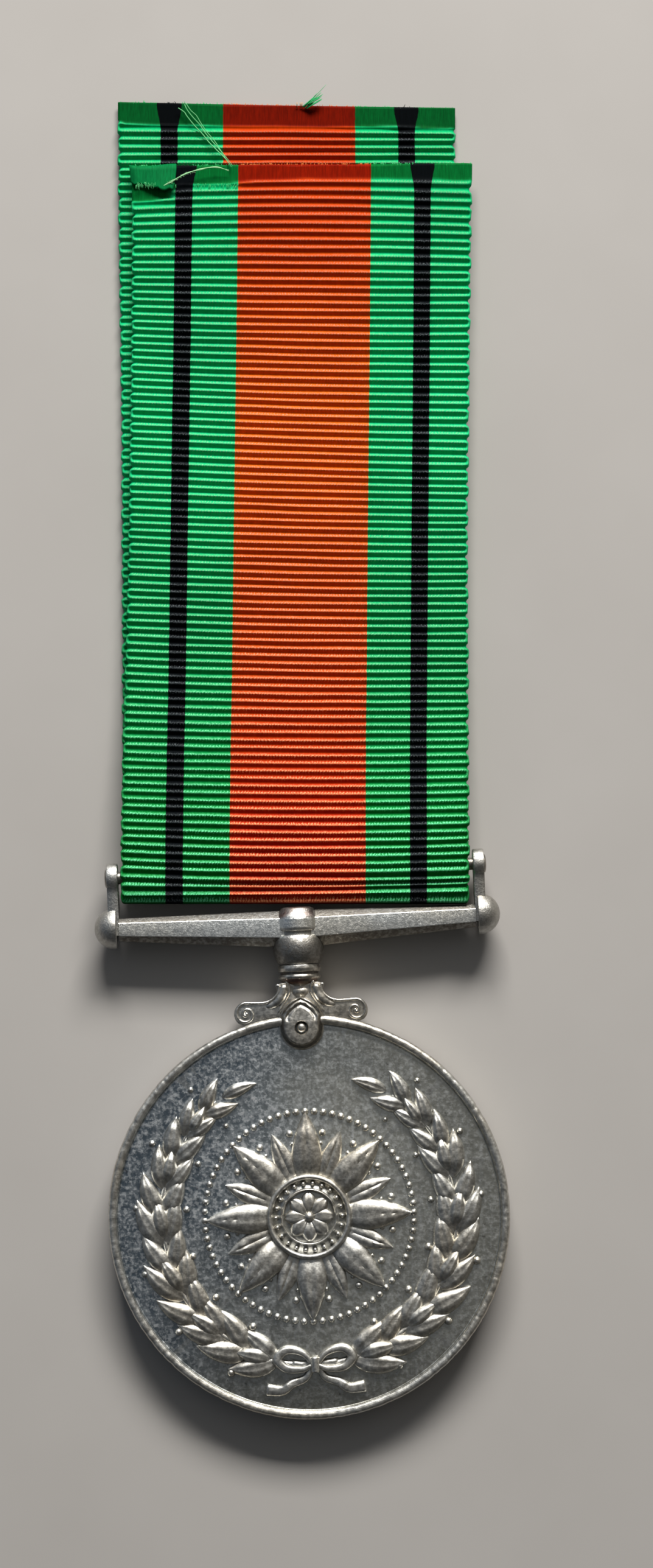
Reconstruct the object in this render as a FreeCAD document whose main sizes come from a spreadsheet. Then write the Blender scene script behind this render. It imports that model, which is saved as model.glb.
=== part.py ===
import FreeCAD, Part
import os
import math
import Sketcher
from FreeCAD import Vector, Placement, Rotation

# A round struck medal on its suspender, with the ribbon folded once over the
# suspender's rod and the whole thing lying on its back.
#
# Row frame: +Z up, +Y along the ribbon towards its cut ends, origin at the
# centre of the bounding box on the surface that it lies on. All sizes in mm.
#
# Medal frame, which every metal piece is drawn in: origin at the disc's
# centre, X to the right, Y up the medal's own axis, Z out of its face.

doc = FreeCAD.newDocument("medal")

# ---------------------------------------------------------------------------
# driving dimensions
# ---------------------------------------------------------------------------
SIZES = [
    # disc
    ("disc_radius", 18.0, "disc, outside"),
    ("disc_thick", 3.0, "disc, over both rims"),
    ("rim_half", 1.5, "half the thickness at the rim"),
    ("field_half", 1.0, "half the thickness at the recessed field"),
    ("field_radius", 17.1, "flat of the field"),
    ("rim_foot", 17.3, "inner edge of the rim's flat"),
    ("rim_fillet", 0.38, "rounding of the rim's outer corners"),
    ("pin_up", 16.86, "claw pin above the disc's centre"),
    ("pin_hole", 0.42, "radius of the pin's hole"),
    # claw: cheeks
    ("cheek_radius", 2.0, "round lower end of a cheek"),
    ("cheek_shoulder", 18.0, "height where the cheek's pointed top starts"),
    ("cheek_apex", 19.75, "point of the cheek's top"),
    ("cheek_arch", 3.2, "radius of the pointed top's two arcs"),
    ("cheek_foot", 14.86, "lowest point of the cheek"),
    ("cheek_thick", 3.9, "over both cheeks"),
    ("cheek_bevel", 0.55, "bevel round each cheek"),
    ("sink_radius", 0.69, "recess round the pin's head"),
    ("sink_floor", 1.55, "height of the recess floor above mid-plane"),
    # claw: scroll plate
    ("plate_thick", 2.5, "scroll plate"),
    ("plate_top", 21.05, "top of the plate at the neck"),
    ("tip_in", 1.98, "inner end of the small upper curl"),
    ("tip_top", 20.98, "top of the upper curl"),
    ("tip_out", 2.24, "outer side of the upper curl"),
    ("tip_low", 20.66, "underside of the upper curl"),
    ("tip_round", 0.24, "rounding of the upper curl"),
    ("throat_in", 2.16, "narrowest half width under the curl"),
    ("throat_up", 20.3, "height of the throat"),
    ("throat_round", 0.98, "hollow curve from throat to arm"),
    ("arm_in", 3.12, "start of the arm's straight top"),
    ("arm_up", 19.36, "top edge of the arm"),
    ("volute_in", 4.95, "volute, from the axis"),
    ("volute_top", 19.34, "top of the volute"),
    ("volute_round", 1.08, "volute radius"),
    ("volute_low_in", 5.0, "end of the volute over the disc's rim"),
    ("volute_low_up", 17.19, "the same, height"),
    ("plate_arc", 17.9024, "lower edge, hidden in the disc's slot"),
    ("boss_radius", 0.62, "eye of the volute"),
    ("boss_thick", 2.76, "over both volute eyes"),
    ("boss_up", 18.26, "volute eye, height"),
    # claw: slot for the disc
    ("slot_radius", 18.04, "slot, radius"),
    ("slot_half", 1.54, "slot over the rim"),
    ("slot_field", 1.04, "slot over the field"),
    ("slot_step_in", 17.06, "inner foot of the slot's step"),
    ("slot_step_out", 17.26, "outer top of the slot's step"),
    # claw: turned neck
    ("neck_foot_rad", 1.45, "neck body at the disc"),
    ("neck_foot_up", 18.3, "its lower end"),
    ("neck_waist_rad", 1.3, "neck waist"),
    ("neck_waist_up", 19.8, "its height"),
    ("neck_rad", 1.72, "neck under the rings"),
    ("neck_up", 20.95, "start of the straight neck"),
    ("ringa_rad", 1.9, "lower collar ring"),
    ("ringa_low", 21.24, "its underside"),
    ("ringa_top", 21.65, "its top"),
    ("ringb_rad", 1.96, "upper collar ring"),
    ("ringb_low", 21.9, "its underside"),
    ("ringb_top", 22.53, "its top"),
    ("spigot_rad", 1.0, "spigot up into the ball"),
    ("spigot_top", 25.2, "its top"),
    # suspender bar
    ("ball_radius", 2.3, "ball under the bar"),
    ("ball_up", 24.0, "ball centre"),
    ("ball_low", -38.3, "latitude of the ball's lower cut"),
    ("ball_high", 29.7, "latitude of the ball's flat top"),
    ("band_rad", 1.77, "band over the ball"),
    ("band_low", 25.0, "its underside"),
    ("band_high", 0.7, "its height"),
    ("cap_rad", 2.05, "cap"),
    ("cap_low", 25.6, "its underside"),
    ("cap_high", 1.1, "straight part of the cap"),
    ("cone_low", 26.7, "bevelled top of the cap"),
    ("cone_high", 1.02, "its height"),
    ("cone_top_rad", 1.5, "flat on the top"),
    ("socket_rad", 1.04, "socket for the spigot"),
    ("socket_low", 22.0, "start of the socket's cut"),
    ("socket_high", 3.25, "length of the socket's cut"),
    ("bar_half", 16.1, "half length between the end bulbs"),
    ("bar_mid_top", 27.46, "bar in the middle: top edge"),
    ("bar_mid_line", 26.7, "chamfer line"),
    ("bar_mid_foot", 24.96, "lower edge of the flat face"),
    ("bar_mid_low", 24.04, "bottom edge"),
    ("bar_mid_face", 1.3, "half thickness over the flat faces"),
    ("bar_mid_edge", 0.45, "half thickness at top and bottom edge"),
    ("bar_end_top", 27.32, "bar at its ends: top edge"),
    ("bar_end_line", 26.9, "chamfer line"),
    ("bar_end_foot", 25.75, "lower edge of the flat face"),
    ("bar_end_low", 25.28, "bottom edge"),
    ("bar_end_face", 0.95, "half thickness over the flat faces"),
    ("bar_end_edge", 0.45, "half thickness at top and bottom edge"),
    ("bulb_radius", 1.85, "end bulb"),
    ("bulb_out", 16.49, "its centre, from the axis"),
    ("bulb_up", 26.45, "its height"),
    ("bulb_cut", -5.6, "latitude of the bulb's flat inner face"),
    ("ear_in", 16.06, "inner face of an ear"),
    ("ear_wide", 1.0, "ear, along the bar"),
    ("ear_deep", 1.8, "ear's upright, front to back"),
    ("ear_low", 25.6, "foot of the upright inside the bulb"),
    ("ear_high", 5.4, "length of the upright, up to the rod"),
    ("eye_radius", 1.35, "round eye of the ear"),
    ("eye_hole", 0.6, "hole for the rod"),
    # rod
    ("rod_up", 31.0, "rod axis above the disc's centre"),
    ("rod_radius", 0.55, "rod"),
    ("rod_half", 17.09, "half length under the heads"),
    ("rod_end", 17.26, "half length over the heads"),
    ("head_radius", 0.82, "riveted heads of the rod"),
    # claw pin
    ("pin_radius", 0.38, "pin"),
    ("pin_neck", 1.6, "half length of the straight pin"),
    ("pin_end", 1.92, "half length over its domes"),
    ("pin_dome", 0.385625, "radius of the domes"),
    # ribbon
    ("ribbon_thick", 1.0, "ribbon wall"),
    # how the metal lies: turned a little to the left, and raised by the
    # ball, whose back touches the surface together with the disc's back rim
    ("lay_x", 0.71, "disc centre in the row frame"),
    ("lay_y", -42.19, "disc centre in the row frame"),
    ("lay_z", 1.845, "disc centre above the surface"),
    ("lay_turn", 2.35, "degrees to the left"),
    ("lay_lift", 1.105, "degrees up towards the ribbon"),
]

dims = doc.addObject("Spreadsheet::Sheet", "Dims")
size = {}
for row, (alias, value, note) in enumerate(SIZES, start=1):
    dims.set("A%d" % row, alias)
    dims.set("B%d" % row, repr(value))
    dims.setAlias("B%d" % row, alias)
    dims.set("C%d" % row, note)
    size[alias] = value
doc.recompute()


# ---------------------------------------------------------------------------
# small helpers
# ---------------------------------------------------------------------------
def number(name):
    """value of 'alias', '-alias' or '0'"""
    if name == "0":
        return 0.0
    return -size[name[1:]] if name[0] == "-" else size[name]


def bound(name):
    return "-Dims." + name[1:] if name[0] == "-" else "Dims." + name


def pin_point(sketch, tag, geo, pos, x, y):
    """hold one point of a sketch at the sheet's x and y"""
    for axis, kind, line, coord in (("x", "DistanceX", -2, x),
                                    ("y", "DistanceY", -1, y)):
        if coord == "0":
            sketch.addConstraint(
                Sketcher.Constraint("PointOnObject", geo, pos, line))
        else:
            sketch.addConstraint(Sketcher.Constraint(
                kind, -1, 1, geo, pos, number(coord)))
            label = "p%s%s" % (tag, axis)
            sketch.renameConstraint(sketch.ConstraintCount - 1, label)
            sketch.setExpression("Constraints." + label, bound(coord))


def chain(sketch, points):
    """closed outline of lines and arcs. Each point is (x, y) or
    (x, y, radius alias, side); a radius makes the edge that leaves the point
    an arc, bulging to the right of its direction for side +1, left for -1"""
    count = len(points)
    first = sketch.GeometryCount
    for i, point in enumerate(points):
        a = Vector(number(point[0]), number(point[1]), 0)
        nxt = points[(i + 1) % count]
        b = Vector(number(nxt[0]), number(nxt[1]), 0)
        if len(point) == 2:
            sketch.addGeometry(Part.LineSegment(a, b), False)
            continue
        radius = size[point[2]]
        run = b - a
        half = run.Length / 2.0
        right = Vector(run.y, -run.x, 0).normalize() * point[3]
        deep = math.sqrt(max(radius * radius - half * half, 0.0))
        middle = (a + b) * 0.5 - right * deep
        begin, end = (a, b) if point[3] > 0 else (b, a)
        angles = [math.atan2(p.y - middle.y, p.x - middle.x)
                  for p in (begin, end)]
        if angles[1] < angles[0]:
            angles[1] += 2 * math.pi
        sketch.addGeometry(Part.ArcOfCircle(
            Part.Circle(middle, Vector(0, 0, 1), radius),
            angles[0], angles[1]), False)
    ends = []
    for i, point in enumerate(points):
        clockwise = len(point) == 4 and point[3] < 0
        ends.append((first + i, 2, 1) if clockwise else (first + i, 1, 2))
    for i in range(count):
        geo, start, stop = ends[i]
        nxt_geo, nxt_start, nxt_stop = ends[(i + 1) % count]
        sketch.addConstraint(Sketcher.Constraint(
            "Coincident", geo, stop, nxt_geo, nxt_start))
    for i, point in enumerate(points):
        geo, start, stop = ends[i]
        pin_point(sketch, "%d" % (first + i), geo, start, point[0], point[1])
        if len(point) == 4:
            sketch.addConstraint(Sketcher.Constraint(
                "Radius", geo, size[point[2]]))
            label = "r%d" % (first + i)
            sketch.renameConstraint(sketch.ConstraintCount - 1, label)
            sketch.setExpression("Constraints." + label, bound(point[2]))


def circle(sketch, x, y, radius):
    geo = sketch.addGeometry(Part.Circle(
        Vector(number(x), number(y), 0), Vector(0, 0, 1), size[radius]), False)
    pin_point(sketch, "c%d" % geo, geo, 3, x, y)
    sketch.addConstraint(Sketcher.Constraint("Radius", geo, size[radius]))
    label = "cr%d" % geo
    sketch.renameConstraint(sketch.ConstraintCount - 1, label)
    sketch.setExpression("Constraints." + label, bound(radius))


def plane(body, role):
    for item in body.Origin.OriginFeatures:
        if item.Role == role:
            return item
    raise RuntimeError(role)


def body_sketch(body, name, role):
    sketch = body.newObject("Sketcher::SketchObject", name)
    sketch.AttachmentSupport = [(plane(body, role), "")]
    sketch.MapMode = "FlatFace"
    doc.recompute()
    return sketch


def revolve(body, name, sketch, axis, kind="PartDesign::Revolution"):
    feature = body.newObject(kind, name)
    feature.Profile = sketch
    feature.ReferenceAxis = (sketch, [axis])
    feature.Angle = 360.0
    sketch.Visibility = False
    doc.recompute()
    return feature


def pad(body, name, sketch, length):
    feature = body.newObject("PartDesign::Pad", name)
    feature.Profile = sketch
    feature.setExpression("Length", bound(length))
    feature.Midplane = True
    doc.recompute()
    return feature


def cut_both_ways(body, name, sketch):
    feature = body.newObject("PartDesign::Pocket", name)
    feature.Profile = sketch
    feature.Type = 1
    feature.Midplane = True
    doc.recompute()
    return feature


def lay(obj, up=None):
    """put a piece of the metal group where it lies"""
    turn = Rotation(size["lay_turn"], 0, size["lay_lift"])
    base = Vector(size["lay_x"], size["lay_y"], size["lay_z"])
    if up:
        base = base + turn.multVec(Vector(0, size[up], 0))
    obj.Placement = Placement(base, turn)


# ---------------------------------------------------------------------------
# struck disc: raised rounded rim, recessed field on both sides, pin hole
# ---------------------------------------------------------------------------
disc = doc.addObject("PartDesign::Body", "medal_disc")
disc.Label = "medal_disc"
profile = body_sketch(disc, "disc_profile", "XZ_Plane")
chain(profile, [
    ("0", "-field_half"),
    ("field_radius", "-field_half"),
    ("rim_foot", "-rim_half"),
    ("disc_radius", "-rim_half"),
    ("disc_radius", "rim_half"),
    ("rim_foot", "rim_half"),
    ("field_radius", "field_half"),
    ("0", "field_half"),
])
struck = revolve(disc, "struck_blank", profile, "V_Axis")
edges = []
for i, edge in enumerate(struck.Shape.Edges, start=1):
    if (isinstance(edge.Curve, Part.Circle)
            and abs(edge.Curve.Radius - size["disc_radius"]) < 1e-6):
        edges.append("Edge%d" % i)
rim = disc.newObject("PartDesign::Fillet", "rim_rounding")
rim.Base = (struck, edges)
rim.setExpression("Radius", "Dims.rim_fillet")
doc.recompute()
hole = body_sketch(disc, "pin_hole_sketch", "XY_Plane")
circle(hole, "0", "pin_up", "pin_hole")
before = rim.Shape.Volume
drilled = cut_both_ways(disc, "pin_hole_cut", hole)
if not drilled.Shape.Volume < before - 0.5:
    raise RuntimeError("the disc's pin hole cut nothing")
lay(disc)

# ---------------------------------------------------------------------------
# claw: two egg-shaped cheeks with pointed tops, a scroll plate with two
# volutes, and a turned neck with two collar rings and a spigot
# ---------------------------------------------------------------------------
claw = doc.addObject("PartDesign::Body", "scroll_claw")
claw.Label = "scroll_claw"
egg = body_sketch(claw, "cheek_outline", "XY_Plane")
chain(egg, [
    ("cheek_radius", "pin_up"),
    ("cheek_radius", "cheek_shoulder", "cheek_arch", 1),
    ("0", "cheek_apex", "cheek_arch", 1),
    ("-cheek_radius", "cheek_shoulder"),
    ("-cheek_radius", "pin_up", "cheek_radius", 1),
    ("0", "cheek_foot", "cheek_radius", 1),
])
cheeks = pad(claw, "cheeks", egg, "cheek_thick")
flat = []
for i, edge in enumerate(cheeks.Shape.Edges, start=1):
    box = edge.BoundBox
    if box.ZLength < 1e-4 and abs(abs(box.ZMin) - size["cheek_thick"] / 2) < 1e-4:
        flat.append("Edge%d" % i)
bevel = claw.newObject("PartDesign::Chamfer", "cheek_bevels")
bevel.Base = (cheeks, flat)
bevel.setExpression("Size", "Dims.cheek_bevel")
doc.recompute()

scroll = body_sketch(claw, "scroll_outline", "XY_Plane")
chain(scroll, [
    ("neck_rad", "plate_top"),
    ("-neck_rad", "plate_top"),
    ("-tip_in", "tip_top", "tip_round", 1),
    ("-tip_out", "tip_low"),
    ("-throat_in", "throat_up", "throat_round", -1),
    ("-arm_in", "arm_up"),
    ("-volute_in", "volute_top", "volute_round", 1),
    ("-volute_low_in", "volute_low_up", "plate_arc", -1),
    ("volute_low_in", "volute_low_up", "volute_round", 1),
    ("volute_in", "volute_top"),
    ("arm_in", "arm_up", "throat_round", -1),
    ("throat_in", "throat_up"),
    ("tip_out", "tip_low", "tip_round", 1),
    ("tip_in", "tip_top"),
])
pad(claw, "scroll_plate", scroll, "plate_thick")

eyes = body_sketch(claw, "volute_eyes_outline", "XY_Plane")
circle(eyes, "volute_in", "boss_up", "boss_radius")
circle(eyes, "-volute_in", "boss_up", "boss_radius")
pad(claw, "volute_eyes", eyes, "boss_thick")

neck = body_sketch(claw, "neck_profile", "XY_Plane")
chain(neck, [
    ("0", "neck_foot_up"),
    ("neck_foot_rad", "neck_foot_up"),
    ("neck_waist_rad", "neck_waist_up"),
    ("neck_rad", "neck_up"),
    ("neck_rad", "ringa_low"),
    ("ringa_rad", "ringa_low"),
    ("ringa_rad", "ringa_top"),
    ("neck_rad", "ringa_top"),
    ("neck_rad", "ringb_low"),
    ("ringb_rad", "ringb_low"),
    ("ringb_rad", "ringb_top"),
    ("spigot_rad", "ringb_top"),
    ("spigot_rad", "spigot_top"),
    ("0", "spigot_top"),
])
necked = revolve(claw, "turned_neck", neck, "V_Axis")

slot = body_sketch(claw, "disc_slot_profile", "XZ_Plane")
chain(slot, [
    ("0", "-slot_field"),
    ("slot_step_in", "-slot_field"),
    ("slot_step_out", "-slot_half"),
    ("slot_radius", "-slot_half"),
    ("slot_radius", "slot_half"),
    ("slot_step_out", "slot_half"),
    ("slot_step_in", "slot_field"),
    ("0", "slot_field"),
])
before = necked.Shape.Volume
slotted = revolve(claw, "disc_slot", slot, "V_Axis", "PartDesign::Groove")
if not slotted.Shape.Volume < before - 5.0:
    raise RuntimeError("the slot for the disc cut nothing")

bore = body_sketch(claw, "claw_pin_sketch", "XY_Plane")
circle(bore, "0", "pin_up", "pin_hole")
before = slotted.Shape.Volume
bored = cut_both_ways(claw, "claw_pin_hole", bore)
if not bored.Shape.Volume < before - 0.3:
    raise RuntimeError("the claw's pin hole cut nothing")
for name, level, reverse in (("front_sink", "sink_floor", True),
                             ("back_sink", "-sink_floor", False)):
    sink = body_sketch(claw, name + "_sketch", "XY_Plane")
    circle(sink, "0", "pin_up", "sink_radius")
    sink.setExpression("AttachmentOffset.Base.z", bound(level))
    doc.recompute()
    before = claw.Tip.Shape.Volume
    recess = claw.newObject("PartDesign::Pocket", name)
    recess.Profile = sink
    recess.Type = 1
    recess.Reversed = reverse
    doc.recompute()
    if not 0.2 < before - recess.Shape.Volume < 1.5:
        raise RuntimeError("%s cut the wrong amount" % name)
lay(claw)

# ---------------------------------------------------------------------------
# pin through the cheeks and the disc, domed at both ends
# ---------------------------------------------------------------------------
rivet = doc.addObject("PartDesign::Body", "claw_pin")
rivet.Label = "claw_pin"
turned = body_sketch(rivet, "pin_profile", "XZ_Plane")
chain(turned, [
    ("0", "-pin_end", "pin_dome", 1),
    ("pin_radius", "-pin_neck"),
    ("pin_radius", "pin_neck", "pin_dome", 1),
    ("0", "pin_end"),
])
revolve(rivet, "turned_pin", turned, "V_Axis")
lay(rivet, "pin_up")

# ---------------------------------------------------------------------------
# rod that the ribbon hangs on, riveted over outside the ears
# ---------------------------------------------------------------------------
wire = doc.addObject("PartDesign::Body", "ribbon_rod")
wire.Label = "ribbon_rod"
turned = body_sketch(wire, "rod_profile", "XY_Plane")
chain(turned, [
    ("-rod_end", "0"),
    ("rod_end", "0"),
    ("rod_end", "head_radius"),
    ("rod_half", "head_radius"),
    ("rod_half", "rod_radius"),
    ("-rod_half", "rod_radius"),
    ("-rod_half", "head_radius"),
    ("-rod_end", "head_radius"),
])
revolve(wire, "turned_rod", turned, "H_Axis")
lay(wire, "rod_up")

# ---------------------------------------------------------------------------
# suspender: tapered bar with chamfers, end bulbs, two ears with round eyes,
# and on the axis a ball, a band and a bevelled cap, all one casting
# ---------------------------------------------------------------------------
UP = Rotation(Vector(1, 0, 0), -90)       # a primitive's Z along the medal
RIGHT = Rotation(Vector(0, 1, 0), 90)     # a primitive's Z to the right
LEFT = Rotation(Vector(0, 1, 0), -90)     # a primitive's Z to the left
ACROSS = Rotation(Vector(1, 1, 1), 120)   # a sketch in the Y-Z plane


def solid(kind, name, turn, x="0", y="0", z="0", **bounds):
    obj = doc.addObject(kind, name)
    obj.Placement = Placement(
        Vector(number(x), number(y), number(z)), turn)
    for axis, coord in (("x", x), ("y", y), ("z", z)):
        if coord != "0":
            obj.setExpression("Placement.Base." + axis, bound(coord))
    for prop, alias in bounds.items():
        obj.setExpression(prop, bound(alias))
    return obj


def bar_section(name, x, part):
    sketch = doc.addObject("Sketcher::SketchObject", name)
    sketch.Placement = Placement(Vector(number(x), 0, 0), ACROSS)
    if x != "0":
        sketch.setExpression("Placement.Base.x", bound(x))
    top, line, foot, low, face, edge = [
        part + "_" + word for word in ("top", "line", "foot", "low",
                                       "face", "edge")]
    chain(sketch, [
        (top, "-" + edge), (top, edge), (line, face), (foot, face),
        (low, edge), (low, "-" + edge), (foot, "-" + face),
        (line, "-" + face),
    ])
    return sketch


sections = [bar_section("bar_section_left", "-bar_half", "bar_end"),
            bar_section("bar_section_middle", "0", "bar_mid"),
            bar_section("bar_section_right", "bar_half", "bar_end")]
doc.recompute()
bar = doc.addObject("Part::Loft", "tapered_bar")
bar.Sections = sections
bar.Solid = True
bar.Ruled = True

pieces = [bar]
ball = solid("Part::Sphere", "ball", UP, y="ball_up", Radius="ball_radius",
             Angle1="ball_low", Angle2="ball_high")
pieces.append(ball)
pieces.append(solid("Part::Cylinder", "band", UP, y="band_low",
                    Radius="band_rad", Height="band_high"))
pieces.append(solid("Part::Cylinder", "cap", UP, y="cap_low",
                    Radius="cap_rad", Height="cap_high"))
pieces.append(solid("Part::Cone", "cap_bevel", UP, y="cone_low",
                    Radius1="cap_rad", Radius2="cone_top_rad",
                    Height="cone_high"))
for side, sign, turn in (("left", "-", LEFT), ("right", "", RIGHT)):
    pieces.append(solid("Part::Sphere", side + "_bulb", turn,
                        x=sign + "bulb_out", y="bulb_up",
                        Radius="bulb_radius", Angle1="bulb_cut"))
    upright = doc.addObject("Part::Box", side + "_upright")
    upright.setExpression("Length", "Dims.ear_wide")
    upright.setExpression("Width", "Dims.ear_high")
    upright.setExpression("Height", "Dims.ear_deep")
    upright.setExpression("Placement.Base.x",
                          "Dims.ear_in" if side == "right"
                          else "-Dims.ear_in - Dims.ear_wide")
    upright.setExpression("Placement.Base.y", "Dims.ear_low")
    upright.setExpression("Placement.Base.z", "-Dims.ear_deep / 2")
    pieces.append(upright)
    pieces.append(solid("Part::Cylinder", side + "_eye", turn,
                        x=sign + "ear_in", y="rod_up",
                        Radius="eye_radius", Height="ear_wide"))
casting = doc.addObject("Part::MultiFuse", "casting")
casting.Shapes = pieces
casting.Refine = True

drill = solid("Part::Cylinder", "rod_drill", LEFT, y="rod_up",
              x="rod_end", Radius="eye_hole")
drill.setExpression("Height", "Dims.rod_end * 2")
socket = solid("Part::Cylinder", "spigot_socket", UP, y="socket_low",
               Radius="socket_rad", Height="socket_high")
holes = doc.addObject("Part::MultiFuse", "holes")
holes.Shapes = [drill, socket]
suspender = doc.addObject("Part::Cut", "suspender_bar")
suspender.Base = casting
suspender.Tool = holes
suspender.Label = "suspender_bar"
doc.recompute()
lay(suspender)

# ---------------------------------------------------------------------------
# ribbon: one strip folded over the rod. Each row is one section of the
# strip, from the cut end of the upper layer down to the crease and back up
# the lower layer: along and across the row frame, height of its middle,
# pitch of the layer (degrees, along the way to the crease), skew (how far
# the section leans along the bar per unit of width) and width.
# ---------------------------------------------------------------------------
ROD_LEAN = math.tan(math.radians(size["lay_turn"]))
RIBBON = [
    # along    across  height  pitch   skew      width
    (54.30,    0.01,   1.56,    0.0,   0.0,      31.4),
    (37.70,   -0.13,   1.56,    0.0,   0.0,      31.1),
    (19.60,   -0.33,   1.56,    0.0,   0.0,      31.0),
    (6.10,    -0.46,   1.60,   -3.0,   0.0,      31.3),
    (0.40,    -0.54,   2.12,   -8.0,   0.2,      31.4),
    (-5.10,   -0.57,   3.05,  -10.0,   0.6,      31.4),
    (-9.80,   -0.58,   3.52,    0.0,   1.0,      31.4),
    (-11.60,  -0.58,   3.53,    4.0,   1.0,      31.4),
    (-12.86,  -0.58,   3.05,   34.0,   0.4,      31.4),
    (-13.36,  -0.58,   2.71,   50.0,   0.0,      31.4),
    (-13.54,  -0.58,   2.30,   90.0,   0.0,      31.4),
    (-13.36,  -0.58,   1.90,  130.0,   0.0,      31.4),
    (-12.80,  -0.58,   1.58,  158.0,   0.4,      31.4),
    (-11.20,  -0.58,   1.32,  178.0,   1.0,      31.4),
    (-8.00,   -0.60,   1.06,  174.0,   0.8,      31.4),
    (-2.00,   -0.64,   0.58,  176.0,   0.2,      31.4),
    (1.80,    -0.69,   0.50,  180.0,   0.0,      31.4),
    (13.00,   -0.83,   0.50,  180.0,   0.0,      31.3),
    (30.00,   -1.03,   0.50,  180.0,   0.0,      31.2),
    (50.60,   -1.42,   0.50,  180.0,   0.0,      31.2),
    (60.20,   -1.46,   0.50,  180.0,   0.0,      31.3),
]


def ribbon_section(along, across, height, pitch, skew, width):
    middle = Vector(across, along, height)
    side = Vector(1, skew * ROD_LEAN, 0) * (width / 2.0)
    # the way to the crease runs towards -Y on the upper layer; the wall's
    # outer side is upward there and downward on the lower layer
    a = math.radians(pitch)
    out = Vector(0, -math.sin(a), math.cos(a)) * (size["ribbon_thick"] / 2.0)
    return [middle - side + out, middle + side + out,
            middle + side - out, middle - side - out]


def quad(a, b, c, d):
    """flat face through four corners, or the ruled one where they aren't
    in one plane"""
    normal = (b - a).cross(d - a).normalize()
    if abs((c - a).dot(normal)) < 1e-7:
        return Part.Face(Part.makePolygon([a, b, c, d, a]))
    return Part.makeRuledSurface(Part.makeLine(a, b), Part.makeLine(d, c))


corners = [ribbon_section(*row) for row in RIBBON]
faces = [Part.Face(Part.makePolygon(end + end[:1]))
         for end in (corners[0], corners[-1])]
for here, there in zip(corners[:-1], corners[1:]):
    for k in range(4):
        j = (k + 1) % 4
        faces.append(quad(here[k], here[j], there[j], there[k]))
shell = Part.makeShell(faces)
shell.sewShape()
strip = Part.makeSolid(shell)
if strip.Volume < 0:
    strip.reverse()
strip = strip.removeSplitter()
ribbon = doc.addObject("Part::Feature", "ribbon")
ribbon.Label = "ribbon"
ribbon.Shape = strip
ribbon.Placement = Placement()

# ---------------------------------------------------------------------------
# check and write
# ---------------------------------------------------------------------------
doc.recompute()
for obj in doc.Objects:
    if "Invalid" in obj.State or "Error" in obj.State:
        raise RuntimeError("%s is %s" % (obj.Label, obj.State))

NODES = ["medal_disc", "scroll_claw", "claw_pin", "suspender_bar",
         "ribbon_rod", "ribbon"]
os.makedirs("parts", exist_ok=True)
whole = None
for node in NODES:
    obj = doc.getObjectsByLabel(node)[0]
    shape = obj.Shape
    if shape.isNull() or not shape.isValid() or len(shape.Solids) != 1:
        raise RuntimeError("%s: null %s, valid %s, %d solids" % (
            node, shape.isNull(), shape.isValid(), len(shape.Solids)))
    print("%-14s volume %9.2f mm3" % (node, shape.Volume),
          "box %s" % [round(v, 3) for v in (
              shape.BoundBox.XMin, shape.BoundBox.YMin, shape.BoundBox.ZMin,
              shape.BoundBox.XMax, shape.BoundBox.YMax, shape.BoundBox.ZMax)])
    whole = shape.BoundBox if whole is None else whole.united(shape.BoundBox)
    shape.exportStep("parts/%s.step" % node)
print("whole", [round(v, 3) for v in (whole.XMin, whole.YMin, whole.ZMin,
                                      whole.XMax, whole.YMax, whole.ZMax)])
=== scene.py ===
import math

import bmesh
import bpy
import numpy as np
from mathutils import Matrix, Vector
from mathutils.geometry import tessellate_polygon


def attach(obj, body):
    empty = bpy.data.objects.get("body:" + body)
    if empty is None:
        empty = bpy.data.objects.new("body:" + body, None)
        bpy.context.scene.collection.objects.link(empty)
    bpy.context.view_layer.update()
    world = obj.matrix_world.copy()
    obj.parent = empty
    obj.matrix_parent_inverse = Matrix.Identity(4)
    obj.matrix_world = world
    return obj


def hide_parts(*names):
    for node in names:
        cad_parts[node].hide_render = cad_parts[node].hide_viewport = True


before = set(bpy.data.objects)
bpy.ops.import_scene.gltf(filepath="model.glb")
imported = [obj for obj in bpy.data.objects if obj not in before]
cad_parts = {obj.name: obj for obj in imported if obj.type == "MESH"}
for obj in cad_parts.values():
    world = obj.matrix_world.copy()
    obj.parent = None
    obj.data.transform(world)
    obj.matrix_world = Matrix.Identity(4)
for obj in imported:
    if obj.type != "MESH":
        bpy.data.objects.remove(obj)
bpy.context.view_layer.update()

MM = 0.001
scene = bpy.context.scene
rng = np.random.default_rng(11)

# --------------------------------------------------------------------------
# camera, at the photograph's angle
# --------------------------------------------------------------------------
cam_data = bpy.data.cameras.new("camera")
cam_data.sensor_fit = "AUTO"
cam_data.sensor_width = 36.0
cam_data.lens = 75.33
cam_data.clip_start, cam_data.clip_end = 0.01, 10.0
cam = bpy.data.objects.new("camera", cam_data)
scene.collection.objects.link(cam)
cam.location = (0.00226, -0.02925, 0.29886)
cam.rotation_euler = (math.radians(5.0), 0.0, 0.0)
scene.camera = cam

# --------------------------------------------------------------------------
# the medal's own frame: origin at the disc's centre, u right, v up its axis,
# w out of its face (mm), and where it lies in the row frame
# --------------------------------------------------------------------------
TURN, LIFT = math.radians(2.35), math.radians(1.105)
LAY = np.array([0.71, -42.19, 1.845])
RZ = np.array([[math.cos(TURN), -math.sin(TURN), 0],
               [math.sin(TURN), math.cos(TURN), 0], [0, 0, 1]])
RX = np.array([[1, 0, 0], [0, math.cos(LIFT), -math.sin(LIFT)],
               [0, math.sin(LIFT), math.cos(LIFT)]])
MEDAL = RZ @ RX


def to_row(points):
    return np.asarray(points, float).reshape(-1, 3) @ MEDAL.T + LAY


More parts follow.
